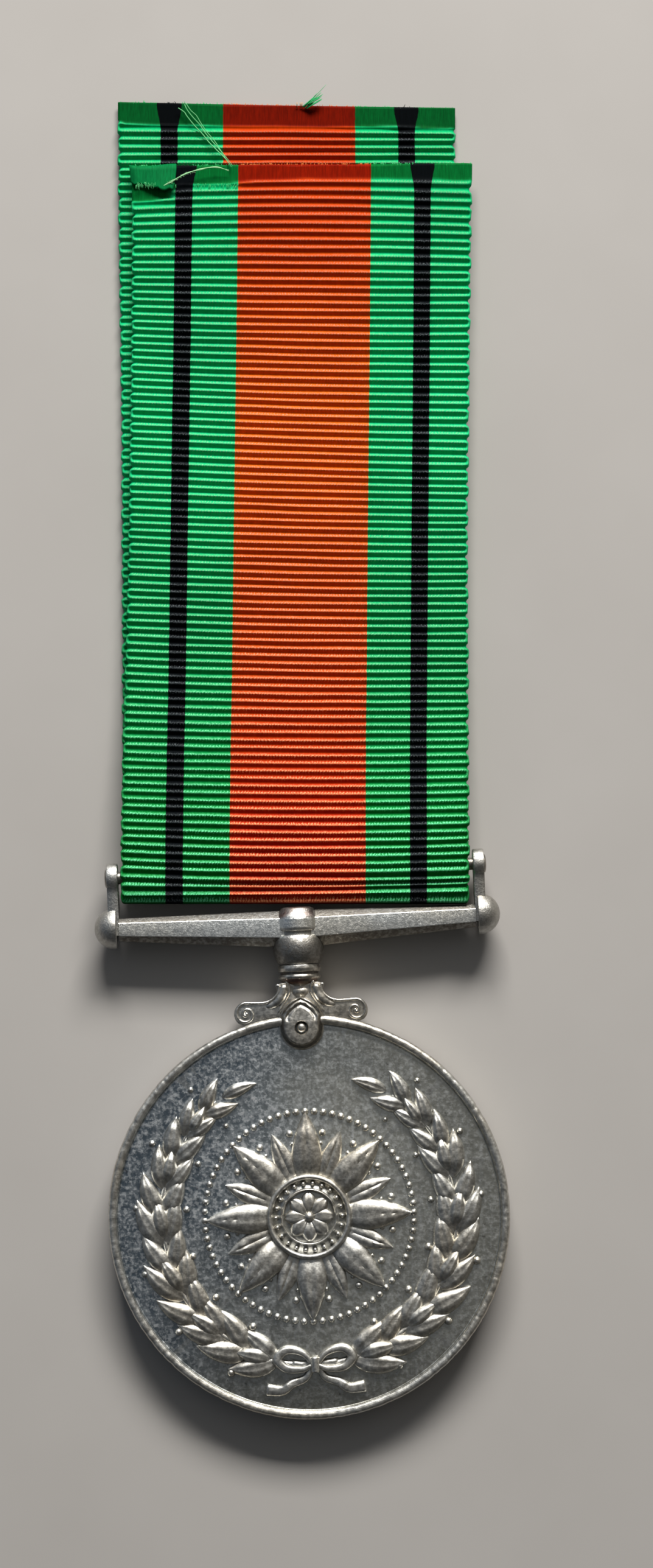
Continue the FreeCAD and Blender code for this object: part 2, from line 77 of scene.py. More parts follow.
# --------------------------------------------------------------------------
# mesh helpers
# --------------------------------------------------------------------------
class Shape:
    """points and faces that grow into one mesh (mm)"""

    def __init__(self):
        self.v, self.f, self.extra, self.n = [], [], {}, 0

    def add(self, points, faces, **extra):
        points = np.asarray(points, float).reshape(-1, 3)
        for name in set(self.extra) | set(extra):
            done = self.extra.setdefault(name, [np.zeros(self.n)])
            done.append(np.broadcast_to(
                np.asarray(extra.get(name, 0.0), float).ravel(),
                (len(points),)) if np.ndim(extra.get(name, 0.0)) == 0
                else np.asarray(extra[name], float).ravel())
        self.v.append(points)
        for face in faces:
            self.f.append([int(i) + self.n for i in face])
        self.n += len(points)
        return self

    def build(self, name, material, slot=None, medal=True, smooth=True,
              recalc=True, flat_over=None):
        points = np.concatenate(self.v)
        if medal:
            points = to_row(points)
        mesh = bpy.data.meshes.new(name)
        mesh.from_pydata((points * MM).tolist(), [], self.f)
        for key, parts in self.extra.items():
            values = np.concatenate(parts).astype(np.float32)
            mesh.attributes.new(key, "FLOAT", "POINT").data.foreach_set(
                "value", values)
        if recalc:
            bm = bmesh.new()
            bm.from_mesh(mesh)
            bmesh.ops.recalc_face_normals(bm, faces=bm.faces)
            bm.to_mesh(mesh)
            bm.free()
        mesh.polygons.foreach_set("use_smooth",
                                  [bool(smooth)] * len(mesh.polygons))
        mesh.update()
        if flat_over is not None:
            mesh.set_sharp_from_angle(angle=math.radians(flat_over))
        obj = bpy.data.objects.new(name, mesh)
        scene.collection.objects.link(obj)
        mesh.materials.append(material)
        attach(obj, "root")
        return obj


def grid(rows, cols, close_rows=False, close_cols=False):
    i = np.arange(rows if close_rows else rows - 1)
    j = np.arange(cols if close_cols else cols - 1)
    i, j = np.meshgrid(i, j, indexing="ij")
    i2, j2 = (i + 1) % rows, (j + 1) % cols
    return np.stack([i * cols + j, i * cols + j2, i2 * cols + j2,
                     i2 * cols + j], -1).reshape(-1, 4)


def fillet(points, n=4):
    """polyline of (x, y, radius) with its corners rounded; ends stay"""
    out = []
    for i, p in enumerate(points):
        here = np.array(p[:2], float)
        r = p[2] if len(p) > 2 else 0.0
        if i in (0, len(points) - 1) or r <= 0:
            out.append(here)
            continue
        a = np.array(points[i - 1][:2], float) - here
        b = np.array(points[i + 1][:2], float) - here
        la, lb = np.linalg.norm(a), np.linalg.norm(b)
        a, b = a / la, b / lb
        half = math.acos(max(-1, min(1, float(a @ b)))) / 2
        if half > math.pi / 2 - 1e-3:
            out.append(here)
            continue
        cut = min(r / math.tan(half), 0.49 * la, 0.49 * lb)
        r = cut * math.tan(half)
        mid = (a + b) / np.linalg.norm(a + b)
        centre = here + mid * (r / math.sin(half))
        p0, p1 = here + a * cut - centre, here + b * cut - centre
        t0, t1 = math.atan2(p0[1], p0[0]), math.atan2(p1[1], p1[0])
        while t1 - t0 > math.pi:
            t1 -= 2 * math.pi
        while t1 - t0 < -math.pi:
            t1 += 2 * math.pi
        for k in range(n + 1):
            t = t0 + (t1 - t0) * k / n
            out.append(centre + r * np.array([math.cos(t), math.sin(t)]))
    return np.array(out)


def lathe(shape, profile, origin, axis, segments=96, wobble=None, **extra):
    """profile of (radius, along) turned round axis; a radius of 0 is a pole"""
    axis = np.array(axis, float) / np.linalg.norm(axis)
    ref = np.array([0, 0, 1.0]) if abs(axis[2]) < 0.9 else np.array([1.0, 0, 0])
    e1 = np.cross(axis, ref)
    e1 /= np.linalg.norm(e1)
    e2 = np.cross(axis, e1)
    turn = np.arange(segments) * 2 * math.pi / segments
    ring = np.cos(turn)[:, None] * e1 + np.sin(turn)[:, None] * e2
    points, faces, last = [], [], None
    count = 0
    for k, (r, a) in enumerate(profile):
        if r < 1e-7:
            here = [count]
            points.append((np.array(origin) + axis * a)[None])
            count += 1
        else:
            rr = r if wobble is None else r + wobble(k, turn)
            points.append(np.array(origin) + axis * a
                          + ring * np.reshape(rr, (-1, 1)))
            here = list(range(count, count + segments))
            count += segments
        if last is not None:
            if len(last) == 1 and len(here) > 1:
                faces += [(last[0], here[(j + 1) % segments], here[j])
                          for j in range(segments)]
            elif len(here) == 1 and len(last) > 1:
                faces += [(here[0], last[j], last[(j + 1) % segments])
                          for j in range(segments)]
            elif len(here) > 1:
                faces += [(last[j], last[(j + 1) % segments],
                           here[(j + 1) % segments], here[j])
                          for j in range(segments)]
        last = here
    shape.add(np.concatenate(points), faces, **extra)


def inset(outline, d):
    """closed counter-clockwise outline moved inwards by d"""
    p = np.asarray(outline, float)
    back, front = p - np.roll(p, 1, 0), np.roll(p, -1, 0) - p
    nb = np.stack([-back[:, 1], back[:, 0]], 1)
    nf = np.stack([-front[:, 1], front[:, 0]], 1)
    nb /= np.linalg.norm(nb, axis=1)[:, None] + 1e-12
    nf /= np.linalg.norm(nf, axis=1)[:, None] + 1e-12
    n = nb + nf
    n /= np.linalg.norm(n, axis=1)[:, None] + 1e-12
    miter = np.clip((n * nb).sum(1), 0.45, 1.0)
    return p + n * (d / miter)[:, None]


def plate(shape, outline, levels, frame3, **extra):
    """outline lofted through (inset, height) levels and closed flat at both
    ends; frame3 turns (x, y, height) into points"""
    rings = [inset(outline, d) for d, _ in levels]
    count = len(outline)
    points = np.concatenate([
        frame3(np.column_stack([ring, np.full(count, h)]))
        for ring, (_, h) in zip(rings, levels)])
    faces = grid(len(levels), count, close_cols=True).tolist()
    for ring, start in ((rings[0], 0), (rings[-1], count * (len(levels) - 1))):
        tris = tessellate_polygon([[Vector((x, y, 0)) for x, y in ring]])
        faces += [[start + i for i in tri] for tri in tris]
    shape.add(points, faces, **extra)


def sweep(shape, path, radii, lift=None, up=(0, 0, 1), sides=10, flat=1.0,
          close=False, **extra):
    """round or flattened bar along a path, closed at its ends"""
    path = np.asarray(path, float)
    count = len(path)
    radii = np.broadcast_to(np.asarray(radii, float), (count,))
    if close:
        tangent = np.roll(path, -1, 0) - np.roll(path, 1, 0)
    else:
        tangent = np.gradient(path, axis=0)
    tangent /= np.linalg.norm(tangent, axis=1)[:, None] + 1e-12
    up = np.broadcast_to(np.asarray(up, float), (count, 3))
    side = np.cross(tangent, up)
    side /= np.linalg.norm(side, axis=1)[:, None] + 1e-12
    top = np.cross(side, tangent)
    turn = np.arange(sides) * 2 * math.pi / sides
    points = (path[:, None]
              + side[:, None] * (np.cos(turn)[None, :, None]
                                 * radii[:, None, None])
              + top[:, None] * (np.sin(turn)[None, :, None]
                                * radii[:, None, None] * flat))
    faces = grid(count, sides, close_rows=close, close_cols=True).tolist()
    if not close:
        faces.append(list(range(sides))[::-1])
        faces.append(list(range((count - 1) * sides, count * sides)))
    if lift is not None:
        extra["lift"] = np.repeat(np.broadcast_to(lift, (count,)), sides)
    shape.add(points, faces, **extra)


def spline(points, n=12, closed=False):
    """smooth curve through points (Catmull-Rom)"""
    p = np.asarray(points, float)
    out = []
    count = len(p)
    for i in range(count if closed else count - 1):
        a = p[(i - 1) % count] if closed or i > 0 else 2 * p[0] - p[1]
        b, c = p[i], p[(i + 1) % count]
        d = p[(i + 2) % count] if closed or i + 2 < count \
            else 2 * p[-1] - p[-2]
        for t in np.arange(n) / n:
            out.append(0.5 * (2 * b + (c - a) * t
                              + (2 * a - 5 * b + 4 * c - d) * t * t
                              + (3 * b - a - 3 * c + d) * t ** 3))
    if not closed:
        out.append(p[-1])
    return np.array(out)


def smooth(a, b, x):
    t = np.clip((np.asarray(x, float) - a) / (b - a), 0, 1)
    return t * t * (3 - 2 * t)


# --------------------------------------------------------------------------
# materials
# --------------------------------------------------------------------------
class Nodes:
    def __init__(self, name):
        self.material = bpy.data.materials.new(name)
        self.material.use_nodes = True
        self.tree = self.material.node_tree
        self.tree.nodes.clear()
        out = self.tree.nodes.new("ShaderNodeOutputMaterial")
        self.shader = self.tree.nodes.new("ShaderNodeBsdfPrincipled")
        self.tree.links.new(self.shader.outputs[0], out.inputs[0])

    def put(self, socket, value):
        if isinstance(value, bpy.types.NodeSocket):
            self.tree.links.new(value, socket)
        elif socket.type == "RGBA" and len(value) == 3:
            socket.default_value = (*value, 1.0)
        else:
            socket.default_value = value

    def set(self, **values):
        for name, value in values.items():
            self.put(self.shader.inputs[name.replace("_", " ")], value)

    def node(self, kind, *inputs, out=0, props=None, **named):
        n = self.tree.nodes.new("ShaderNode" + kind)
        for key, value in (props or {}).items():
            setattr(n, key, value)
        for i, value in enumerate(inputs):
            if value is not None:
                self.put(n.inputs[i], value)
        for key, value in named.items():
            self.put(n.inputs[key.replace("_", " ")], value)
        return n.outputs[out]

    def math(self, op, a, b=None, c=None, clamp=False):
        return self.node("Math", a, b, c, props={"operation": op,
                                                 "use_clamp": clamp})

    def attr(self, name):
        return self.node("Attribute", out="Fac",
                         props={"attribute_name": name})

    def obj(self):
        return self.node("TexCoord", out="Object")

    def noise(self, vector, scale, detail=4.0, rough=0.55, distortion=0.0):
        return self.node("TexNoise", Vector=vector, Scale=scale,
                         Detail=detail, Roughness=rough,
                         Distortion=distortion)

    def ramp(self, value, lo, hi, to_lo=0.0, to_hi=1.0, smoothed=True):
        n = self.tree.nodes.new("ShaderNodeMapRange")
        n.interpolation_type = "SMOOTHSTEP" if smoothed else "LINEAR"
        for key, v in (("Value", value), ("From Min", lo), ("From Max", hi),
                       ("To Min", to_lo), ("To Max", to_hi)):
            self.put(n.inputs[key], v)
        return n.outputs[0]

    def mix(self, factor, a, b, mode="MIX"):
        n = self.tree.nodes.new("ShaderNodeMix")
        n.data_type, n.blend_type = "RGBA", mode
        self.put(n.inputs[0], factor)
        self.put(n.inputs[6], a)
        self.put(n.inputs[7], b)
        return n.outputs[2]

    def bump(self, height, distance, strength=1.0, normal=None):
        n = self.tree.nodes.new("ShaderNodeBump")
        self.put(n.inputs["Height"], height)
        n.inputs["Distance"].default_value = distance
        self.put(n.inputs["Strength"], strength)
        if normal is not None:
            self.put(n.inputs["Normal"], normal)
        return n.outputs[0]


def metal(name, dark, light, rough=(0.30, 0.42), field=None, grain=1.0,
          copper=0.0, fleck=3200.0):
    """aged nickel-like metal: fine mottling, toned hollows, worn edges and painted
    shade on the parts marked for it
    """
    m = Nodes(name)
    at = m.obj()
    broad = m.noise(at, 110.0, 3.0, 0.5)
    mottle = m.noise(at, fleck * 0.42, 4.0, 0.6)
    fine = m.noise(at, fleck, 3.0, 0.65)
    tiny = m.noise(at, fleck * 2.6, 2.0, 0.6)
    tone = m.math("ADD", m.math("MULTIPLY", m.ramp(mottle, 0.36, 0.66), 0.40),
                  m.math("MULTIPLY", m.ramp(fine, 0.36, 0.66), 0.60))
    base = m.mix(tone, dark, light)
    base = m.mix(m.ramp(broad, 0.40, 0.64, 0.0, 0.5), base,
                 m.mix(1.0, base, (1.0, 0.90, 0.76), "MULTIPLY"))
    if field:
        cool, warm, speck = field
        lift = m.attr("lift")
        x = m.node("SeparateXYZ", at, out="X")
        y = m.node("SeparateXYZ", at, out="Y")
        drift = m.math("MULTIPLY", m.math("SUBTRACT", broad, 0.5), 0.022)
        side = m.ramp(m.math("ADD", m.math("ADD", x, m.math(
            "MULTIPLY", m.math("ADD", y, 0.040), -0.35)), drift),
            -0.012, 0.007)
        toned = m.mix(side, cool, warm)
        # light flecks, dense on the cool side, and faint drawn streaks
        spots = m.math("MULTIPLY", m.math(
            "ADD", m.math("MULTIPLY", m.ramp(fine, 0.46, 0.60), 0.62),
            m.math("MULTIPLY", m.ramp(mottle, 0.44, 0.62), 0.30)),
            m.ramp(side, 0.0, 1.0, 1.0, 0.42))
        toned = m.mix(spots, toned, speck)
        streak = m.node("VectorMath", at, (2600.0, 210.0, 900.0),
                        props={"operation": "MULTIPLY"})
        streaks = m.ramp(m.noise(streak, 1.0, 3.0, 0.55), 0.48, 0.72)
        toned = m.mix(m.math("MULTIPLY", streaks, 0.22), toned, speck)
        specks = m.ramp(m.noise(at, 1900.0, 2.0, 0.5), 0.33, 0.24)
        toned = m.mix(m.math("MULTIPLY", specks, 0.5), toned,
                      (0.09, 0.085, 0.075))
        # lighter in the middle, darker towards the lower rim
        field_lightness = m.ramp(m.node("VectorMath", at, (0.001, -0.0375, 0.003),
                               props={"operation": "DISTANCE"},
                               out="Value"), 0.014, 0.004, 1.0, 1.42)
        field_lightness = m.math("MULTIPLY", field_lightness,
                        m.ramp(y, -0.061, -0.050, 0.60, 1.0))
        toned = m.node("VectorMath", toned,
                       m.node("CombineXYZ", field_lightness, field_lightness, field_lightness),
                       props={"operation": "MULTIPLY"})
        base = m.mix(m.ramp(lift, 0.03, 0.26), toned, base)
        # darker where the relief and the rim meet the field
        base = m.mix(m.math("MULTIPLY", m.math(
            "MULTIPLY", m.ramp(lift, 0.005, 0.03),
            m.ramp(lift, 0.20, 0.06)), 0.72), base, (0.11, 0.10, 0.085))
    point = m.node("NewGeometry", out="Pointiness")
    worn = m.ramp(point, 0.515, 0.60)
    hollow = m.ramp(point, 0.485, 0.42)
    base = m.mix(m.math("MULTIPLY", worn, 0.45), base, (0.70, 0.69, 0.65))
    base = m.mix(m.math("MULTIPLY", hollow, 0.80), base, (0.09, 0.08, 0.065))
    if copper:
        red = m.math("MULTIPLY", m.attr("copper"),
                     m.ramp(m.noise(at, 700.0, 4.0, 0.6), 0.34, 0.60))
        base = m.mix(m.math("MULTIPLY", red, copper), base,
                     (0.34, 0.15, 0.11))
    # painted shade: parts marked for it are mixed to a dark brown-grey and made a
    # little rougher
    grime = m.math("MULTIPLY", m.attr("grime"),
                   m.ramp(mottle, 0.36, 0.60, 0.80, 1.0))
    base = m.mix(grime, base, m.mix(tone, (0.060, 0.050, 0.040),
                                    (0.105, 0.090, 0.072)))
    roughness = m.ramp(m.math("ADD", m.math("MULTIPLY", mottle, 0.5),
                              m.math("MULTIPLY", fine, 0.5)),
                       0.36, 0.66, rough[0], rough[1])
    roughness = m.math("ADD", roughness, m.math("MULTIPLY", grime, 0.12))
    if field:
        roughness = m.math("ADD", roughness, m.ramp(lift, 0.03, 0.20, 0.0,
                                                    0.08))
    roughness = m.math("SUBTRACT", roughness,
                       m.math("MULTIPLY", worn, 0.04))
    normal = m.bump(tiny, 0.000009 * grain, 0.7)
    normal = m.bump(fine, 0.000018 * grain, 0.7, normal)
    normal = m.bump(mottle, 0.000022 * grain, 0.6, normal)
    scuff = m.noise(m.node("VectorMath", at, (300.0, 2300.0, 900.0),
                           props={"operation": "MULTIPLY"}), 1.0, 2.0, 0.5)
    normal = m.bump(m.ramp(scuff, 0.56, 0.72), 0.000007, 0.5, normal)
    m.set(Base_Color=base, Metallic=1.0, Roughness=roughness, Normal=normal)
    return m.material


def stripes(m, x, ph, spread=0.0):
    """the ribbon's colours across its width (mm from its middle)"""
    rib = m.math("FLOOR", ph)
    jag = m.node("TexWhiteNoise", rib, out="Value",
                 props={"noise_dimensions": "1D"})
    vec = m.node("CombineXYZ", m.math("MULTIPLY", x, 3.0), ph, 0.0)
    shift = m.math("ADD", m.math("MULTIPLY", m.math("SUBTRACT", jag, 0.5),
                                 0.05),
                   m.math("MULTIPLY", m.math(
                       "SUBTRACT", m.noise(vec, 1.3, 2.0), 0.5), 0.12))
    x = m.math("ADD", x, shift)

    def band(a, b, wider=0.0):
        low = m.math("ADD", m.math("SUBTRACT", x, a), wider)
        high = m.math("ADD", m.math("SUBTRACT", b, x), wider)
        return m.math("MULTIPLY", m.ramp(low, -0.02, 0.02),
                      m.ramp(high, -0.02, 0.02))

    black = m.math("ADD", band(-11.66, -10.08, spread),
                   band(10.35, 11.88, spread), clamp=True)
    return band(-5.88, 6.36), black


def silk(name, kind="woven"):
    """ribbed watered-silk colours with a painted highlight on each rib; kind is
    woven, bare (unwoven) or thread
    """
    m = Nodes(name)
    x, ph = m.attr("xs"), m.attr("ph")
    if kind == "woven":
        woven = m.attr("wv")
        bare = m.math("SUBTRACT", 1.0, woven)
        orange, black = stripes(m, x, ph, m.math("MULTIPLY", m.attr("sp"),
                                                 0.36))
    else:
        orange, black = stripes(m, x, ph)
    y = m.node("SeparateXYZ", m.obj(), out="Y")
    # painted light and shade: the ribbon's colours lighter up the strip, and darker
    # again near its upper end, the orange most
    up = m.math("MULTIPLY", m.ramp(y, -0.012, 0.034),
                m.ramp(y, 0.034, 0.056, 1.0, 0.72))
    deep = m.mix(orange, m.mix(up, (0.0012, 0.150, 0.020),
                               (0.0015, 0.430, 0.155)),
                 m.mix(m.math("MULTIPLY", up, m.ramp(y, 0.026, 0.056, 1.0,
                                                     0.35)),
                       (0.340, 0.0095, 0.0008), (0.620, 0.110, 0.0012)))
    deep = m.mix(black, deep, (0.0012, 0.0022, 0.0030))
    across = m.node("CombineXYZ", m.math("MULTIPLY", x, 5.2),
                    m.math("MULTIPLY", ph, 0.9), 0.0)
    yarn = m.noise(across, 1.0, 3.0, 0.6)
    broad = m.noise(m.obj(), 120.0, 2.0, 0.5)
    rib = m.node("TexWhiteNoise", m.math("FLOOR", ph), out="Value",
                 props={"noise_dimensions": "1D"})
    tone = m.math("ADD", m.math("MULTIPLY", yarn, 0.55),
                  m.math("ADD", m.math("MULTIPLY", rib, 0.12),
                         m.math("MULTIPLY", broad, 0.35)))
    tone = m.ramp(tone, 0.30, 0.75, 0.76, 1.24, smoothed=False)
    fuzz = m.noise(m.node("CombineXYZ", m.math("MULTIPLY", x, 11.0),
                          m.math("MULTIPLY", ph, 8.0), 0.0), 1.0, 4.0, 0.75)
    bend = m.noise(m.node("CombineXYZ", m.math("MULTIPLY", x, 1.1),
                          m.math("MULTIPLY", ph, 2.3), 0.0), 1.0, 2.0)
    phase = m.math("ADD", m.math("MULTIPLY", x, 2 * math.pi / 0.27),
                   m.math("ADD", m.math("MULTIPLY", ph, 3.7),
                          m.math("MULTIPLY", bend, 12.0)))
    twist = m.math("SINE", phase)
    if kind == "woven":
        # painted highlight: a pale twisted line on each rib's lit shoulder
        knots = m.noise(m.node("CombineXYZ", m.math("MULTIPLY", x, 3.4),
                               m.math("MULTIPLY", m.math("FLOOR", ph), 7.7),
                               0.0), 1.0, 2.0, 0.5)
        off = m.math("ADD", m.attr("sd"), m.math(
            "ADD", m.math("MULTIPLY", twist, 0.080), m.math(
                "ADD", m.math("MULTIPLY", m.math("SUBTRACT", fuzz, 0.5),
                              1.25),
                m.math("MULTIPLY", m.math("SUBTRACT", knots, 0.5), 0.34))))
        away = m.math("ABSOLUTE", off)
        core = m.ramp(away, 0.190, 0.050)
        skirt = m.math("MULTIPLY", m.ramp(away, 0.330, 0.120), 0.22)
        patchy = m.ramp(m.math("ADD", m.math("MULTIPLY", twist, 0.120), fuzz),
                        0.38, 0.60, 0.30, 1.05)
        line = m.math("MULTIPLY", m.math("MAXIMUM", core, skirt), patchy)
        line = m.math("MULTIPLY", line, m.attr("am"))
        # the painted highlight's colour, paler lower down the strip
        aloft = m.ramp(y, -0.014, 0.022)
        pale = m.mix(orange, m.mix(aloft, (0.140, 0.680, 0.320),
                                   (0.118, 0.410, 0.185)),
                     m.mix(aloft, (0.860, 0.300, 0.130),
                           (0.730, 0.172, 0.100)))
        # single filaments that catch the light
        spark = m.noise(m.node("CombineXYZ", m.math("MULTIPLY", x, 15.0),
                               m.math("MULTIPLY", ph, 13.0), 3.0), 1.0, 2.0,
                        0.6)
        pale = m.mix(m.ramp(spark, 0.54, 0.66, 0.0, 0.62), pale,
                     m.mix(orange, (0.30, 0.74, 0.42), (0.98, 0.50, 0.35)))
        # painted highlight dimmer near the strip's upper end
        glint_dim_top = m.ramp(y, 0.028, 0.058)
        pale = m.mix(glint_dim_top, pale, m.mix(orange, m.mix(1.0, pale, (
            0.80, 0.82, 0.80), "MULTIPLY"), m.mix(1.0, pale, (
                0.45, 0.44, 0.40), "MULTIPLY")))
        # painted highlight on the black stripe: grey ticks
        ticks = m.ramp(fuzz, 0.46, 0.60)
        pale = m.mix(black, pale, m.mix(ticks, (0.008, 0.011, 0.012),
                                        (0.11, 0.125, 0.13)))
        base = m.mix(line, deep, pale)
        # unwoven threads at the cut ends: plain satin, a little darker, with painted
        # shade on the lower layer's end
        satin = m.math("MULTIPLY", m.ramp(m.noise(m.node(
            "CombineXYZ", m.math("MULTIPLY", x, 9.0),
            m.math("MULTIPLY", ph, 0.4), 0.0), 1.0, 3.0, 0.6),
            0.3, 0.7, 0.72, 1.12), m.attr("dk"))
        flat = m.mix(orange, (0.0003, 0.108, 0.019), (0.195, 0.0062, 0.0002))
        flat = m.mix(black, flat, (0.0012, 0.0022, 0.0030))
        plain = m.node("VectorMath", flat, m.node("CombineXYZ", satin, satin,
                                                  satin),
                       props={"operation": "MULTIPLY"})
        base = m.mix(bare, base, plain)
        glow = m.math("MULTIPLY", line, woven)
    elif kind == "bare":
        satin = m.ramp(m.noise(m.node("CombineXYZ", m.math("MULTIPLY", x, 9.0),
                                      m.math("MULTIPLY", ph, 0.8), 0.0),
                               1.0, 3.0, 0.6), 0.3, 0.7, 0.75, 1.15)
        base = m.node("VectorMath", (0.0015, 0.125, 0.032),
                      m.node("CombineXYZ", satin, satin, satin),
                      props={"operation": "MULTIPLY"})
        glow = 0.0
    else:
        base = m.mix(orange, (0.045, 0.38, 0.13), (0.55, 0.15, 0.04))
        base = m.mix(black, base, (0.02, 0.025, 0.025))
        pale = m.attr("pl")
        base = m.mix(pale, base, (0.42, 0.62, 0.36))
        glow = 1.0
    if kind == "woven":
        # painted shade on the pressed fold
        tone = m.math("MULTIPLY", tone, m.attr("sh"))
    base = m.node("VectorMath", base, m.node("CombineXYZ", tone, tone, tone),
                  props={"operation": "MULTIPLY"})
    normal = m.bump(twist, 0.000012, m.math("MULTIPLY", glow, 0.8)
                    if kind == "woven" else 0.5)
    normal = m.bump(fuzz, 0.00004, m.math("MULTIPLY", glow, 0.6)
                    if kind == "woven" else 0.15, normal)
    if kind == "bare":
        normal = m.bump(satin, 0.000004, 0.4)
    m.set(Base_Color=base, Normal=normal)
    m.set(Roughness=m.ramp(fuzz, 0.3, 0.6, 0.50, 0.66))
    m.shader.inputs["Specular IOR Level"].default_value = 0.02
    return m.material


DISC_METAL = metal("disc_nickel", (0.42, 0.41, 0.38), (0.66, 0.65, 0.61),
                   rough=(0.29, 0.41),
                   field=((0.215, 0.265, 0.310), (0.52, 0.51, 0.45),
                          (0.92, 0.94, 0.94)))
FITTING_METAL = metal("fitting_nickel", (0.38, 0.37, 0.34),
                      (0.74, 0.72, 0.67), rough=(0.28, 0.40), grain=1.1,
                      copper=0.9)
BAR_METAL = metal("bar_nickel", (0.80, 0.81, 0.79), (0.98, 0.99, 0.96),
                  rough=(0.28, 0.42), grain=1.9, copper=0.9, fleck=6600.0)
SILK = silk("ribbon_silk")
BARE = silk("unwoven_silk", "bare")
THREAD = silk("ribbon_thread", "thread")

# --------------------------------------------------------------------------
# struck disc: turned blank with a worn rounded rim and recessed fields
# --------------------------------------------------------------------------


def rim_profile(side):
    """from the field's centre out to the disc's edge, front or back"""
    flat = [(0, 1.0), (3.0, 1.0), (6.0, 1.0), (9.0, 1.0), (12.0, 1.0),
            (14.5, 1.0)]
    edge = fillet([(16.3, 1.0), (16.98, 0.985, 0.3), (17.08, 0.962, 0.05),
                   (17.145, 0.985, 0.05), (17.20, 1.24, 0.10),
                   (17.32, 1.42, 0.16), (17.52, 1.492, 0.3),
                   (17.70, 1.494, 0.3), (17.87, 1.41, 0.2),
                   (17.965, 1.26, 0.16), (18.0, 1.02, 0.28), (18.0, 0.6)], 4)
    pts = flat + [tuple(p) for p in edge]
    return [(r, h * side) for r, h in pts]


def nick(theta, seed, scale, keep):
    """uneven dents round the rim: 0 most of the way, up to 1"""
    r = np.random.default_rng(seed)
    total = np.zeros_like(theta)
    for _ in range(scale):
        at, width = r.uniform(0, 2 * math.pi), r.uniform(0.006, 0.022)
        deep = r.uniform(0.25, 1.0)
        d = np.angle(np.exp(1j * (theta - at)))
        total = np.maximum(total, deep * np.exp(-(d / width) ** 2))
    return total * keep


def wave(theta, seed, count=40, low=3, high=60):
    r = np.random.default_rng(seed)
    total = np.zeros_like(theta)
    for _ in range(count):
        k = r.integers(low, high)
        total += np.sin(k * theta + r.uniform(0, 6.3)) / math.sqrt(k)
    return total / math.sqrt(count)


blank = Shape()
front, back = rim_profile(1), rim_profile(-1)
profile = front + back[::-1]
SEG = 860
theta = np.arange(SEG) * 2 * math.pi / SEG
axis_u = np.stack([np.cos(theta), np.sin(theta)], 1)
dents = {1: nick(theta, 3, 120, 0.05), -1: nick(theta, 4, 120, 0.05)}
uneven = {1: wave(theta, 5) * 0.012, -1: wave(theta, 6) * 0.012}
points, faces, lifts, last, count = [], [], [], None, 0
for r, h in profile:
    side = 1 if h > 0 else -1
    if r < 1e-6:
        points.append([[0, 0, h]])
        here = [count]
        count += 1
        lifts.append([0.0])
    else:
        top = float(smooth(17.15, 17.5, r))
        cut = (dents[side] + uneven[side]) * top
        rr = r - cut * float(smooth(17.5, 18.0, r)) * 0.8
        hh = h - side * cut * float(smooth(1.05, 1.4, abs(h)))
        hh = np.broadcast_to(hh, (SEG,)) if np.ndim(hh) else np.full(SEG, hh)
        rr = np.broadcast_to(rr, (SEG,)) if np.ndim(rr) else np.full(SEG, rr)
        points.append(np.column_stack([axis_u * rr[:, None], hh]))
        here = list(range(count, count + SEG))
        count += SEG
        lifts.append(np.full(SEG, max(0.0, abs(h) - 1.0)
                             if r > 17.0 else 0.0))
    if last is not None:
        if len(last) == 1:
            faces += [(last[0], here[j], here[(j + 1) % SEG])
                      for j in range(SEG)]
        elif len(here) == 1:
            faces += [(here[0], last[(j + 1) % SEG], last[j])
                      for j in range(SEG)]
        else:
            faces += [(last[j], here[j], here[(j + 1) % SEG],
                       last[(j + 1) % SEG]) for j in range(SEG)]
    last = here
blank.add(np.concatenate(points), faces, lift=np.concatenate(lifts))
disc = blank.build("struck_disc", DISC_METAL, "disc_metal")
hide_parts("medal_disc")

# --------------------------------------------------------------------------
# relief on the face: laurel wreath tied with a bow, faceted star, beading
# --------------------------------------------------------------------------
FIELD = 1.0


def relief_patch(shape, points, height, rows, cols, foot=-0.12):
    """grid of (u, v) with heights over the field, closed under the field"""
    top = np.column_stack([points, FIELD + height])
    idx = np.arange(rows * cols).reshape(rows, cols)
    loop = np.concatenate([idx[0, :], idx[1:, -1], idx[-1, -2::-1],
                           idx[-2:0:-1, 0]])
    centre = points[loop].mean(0)
    away = points[loop] - centre
    away /= np.linalg.norm(away, axis=1)[:, None] + 1e-9
    skirt = np.column_stack([points[loop] + away * 0.03,
                             np.full(len(loop), FIELD + foot)])
    n = rows * cols
    faces = grid(rows, cols).tolist()
    m = len(loop)
    faces += [[loop[k], loop[(k + 1) % m], n + (k + 1) % m, n + k]
              for k in range(m)]
    faces.append([n + k for k in range(m)])
    shape.add(np.concatenate([top, skirt]), faces,
              lift=np.concatenate([np.maximum(height, 0.0), np.zeros(m)]))


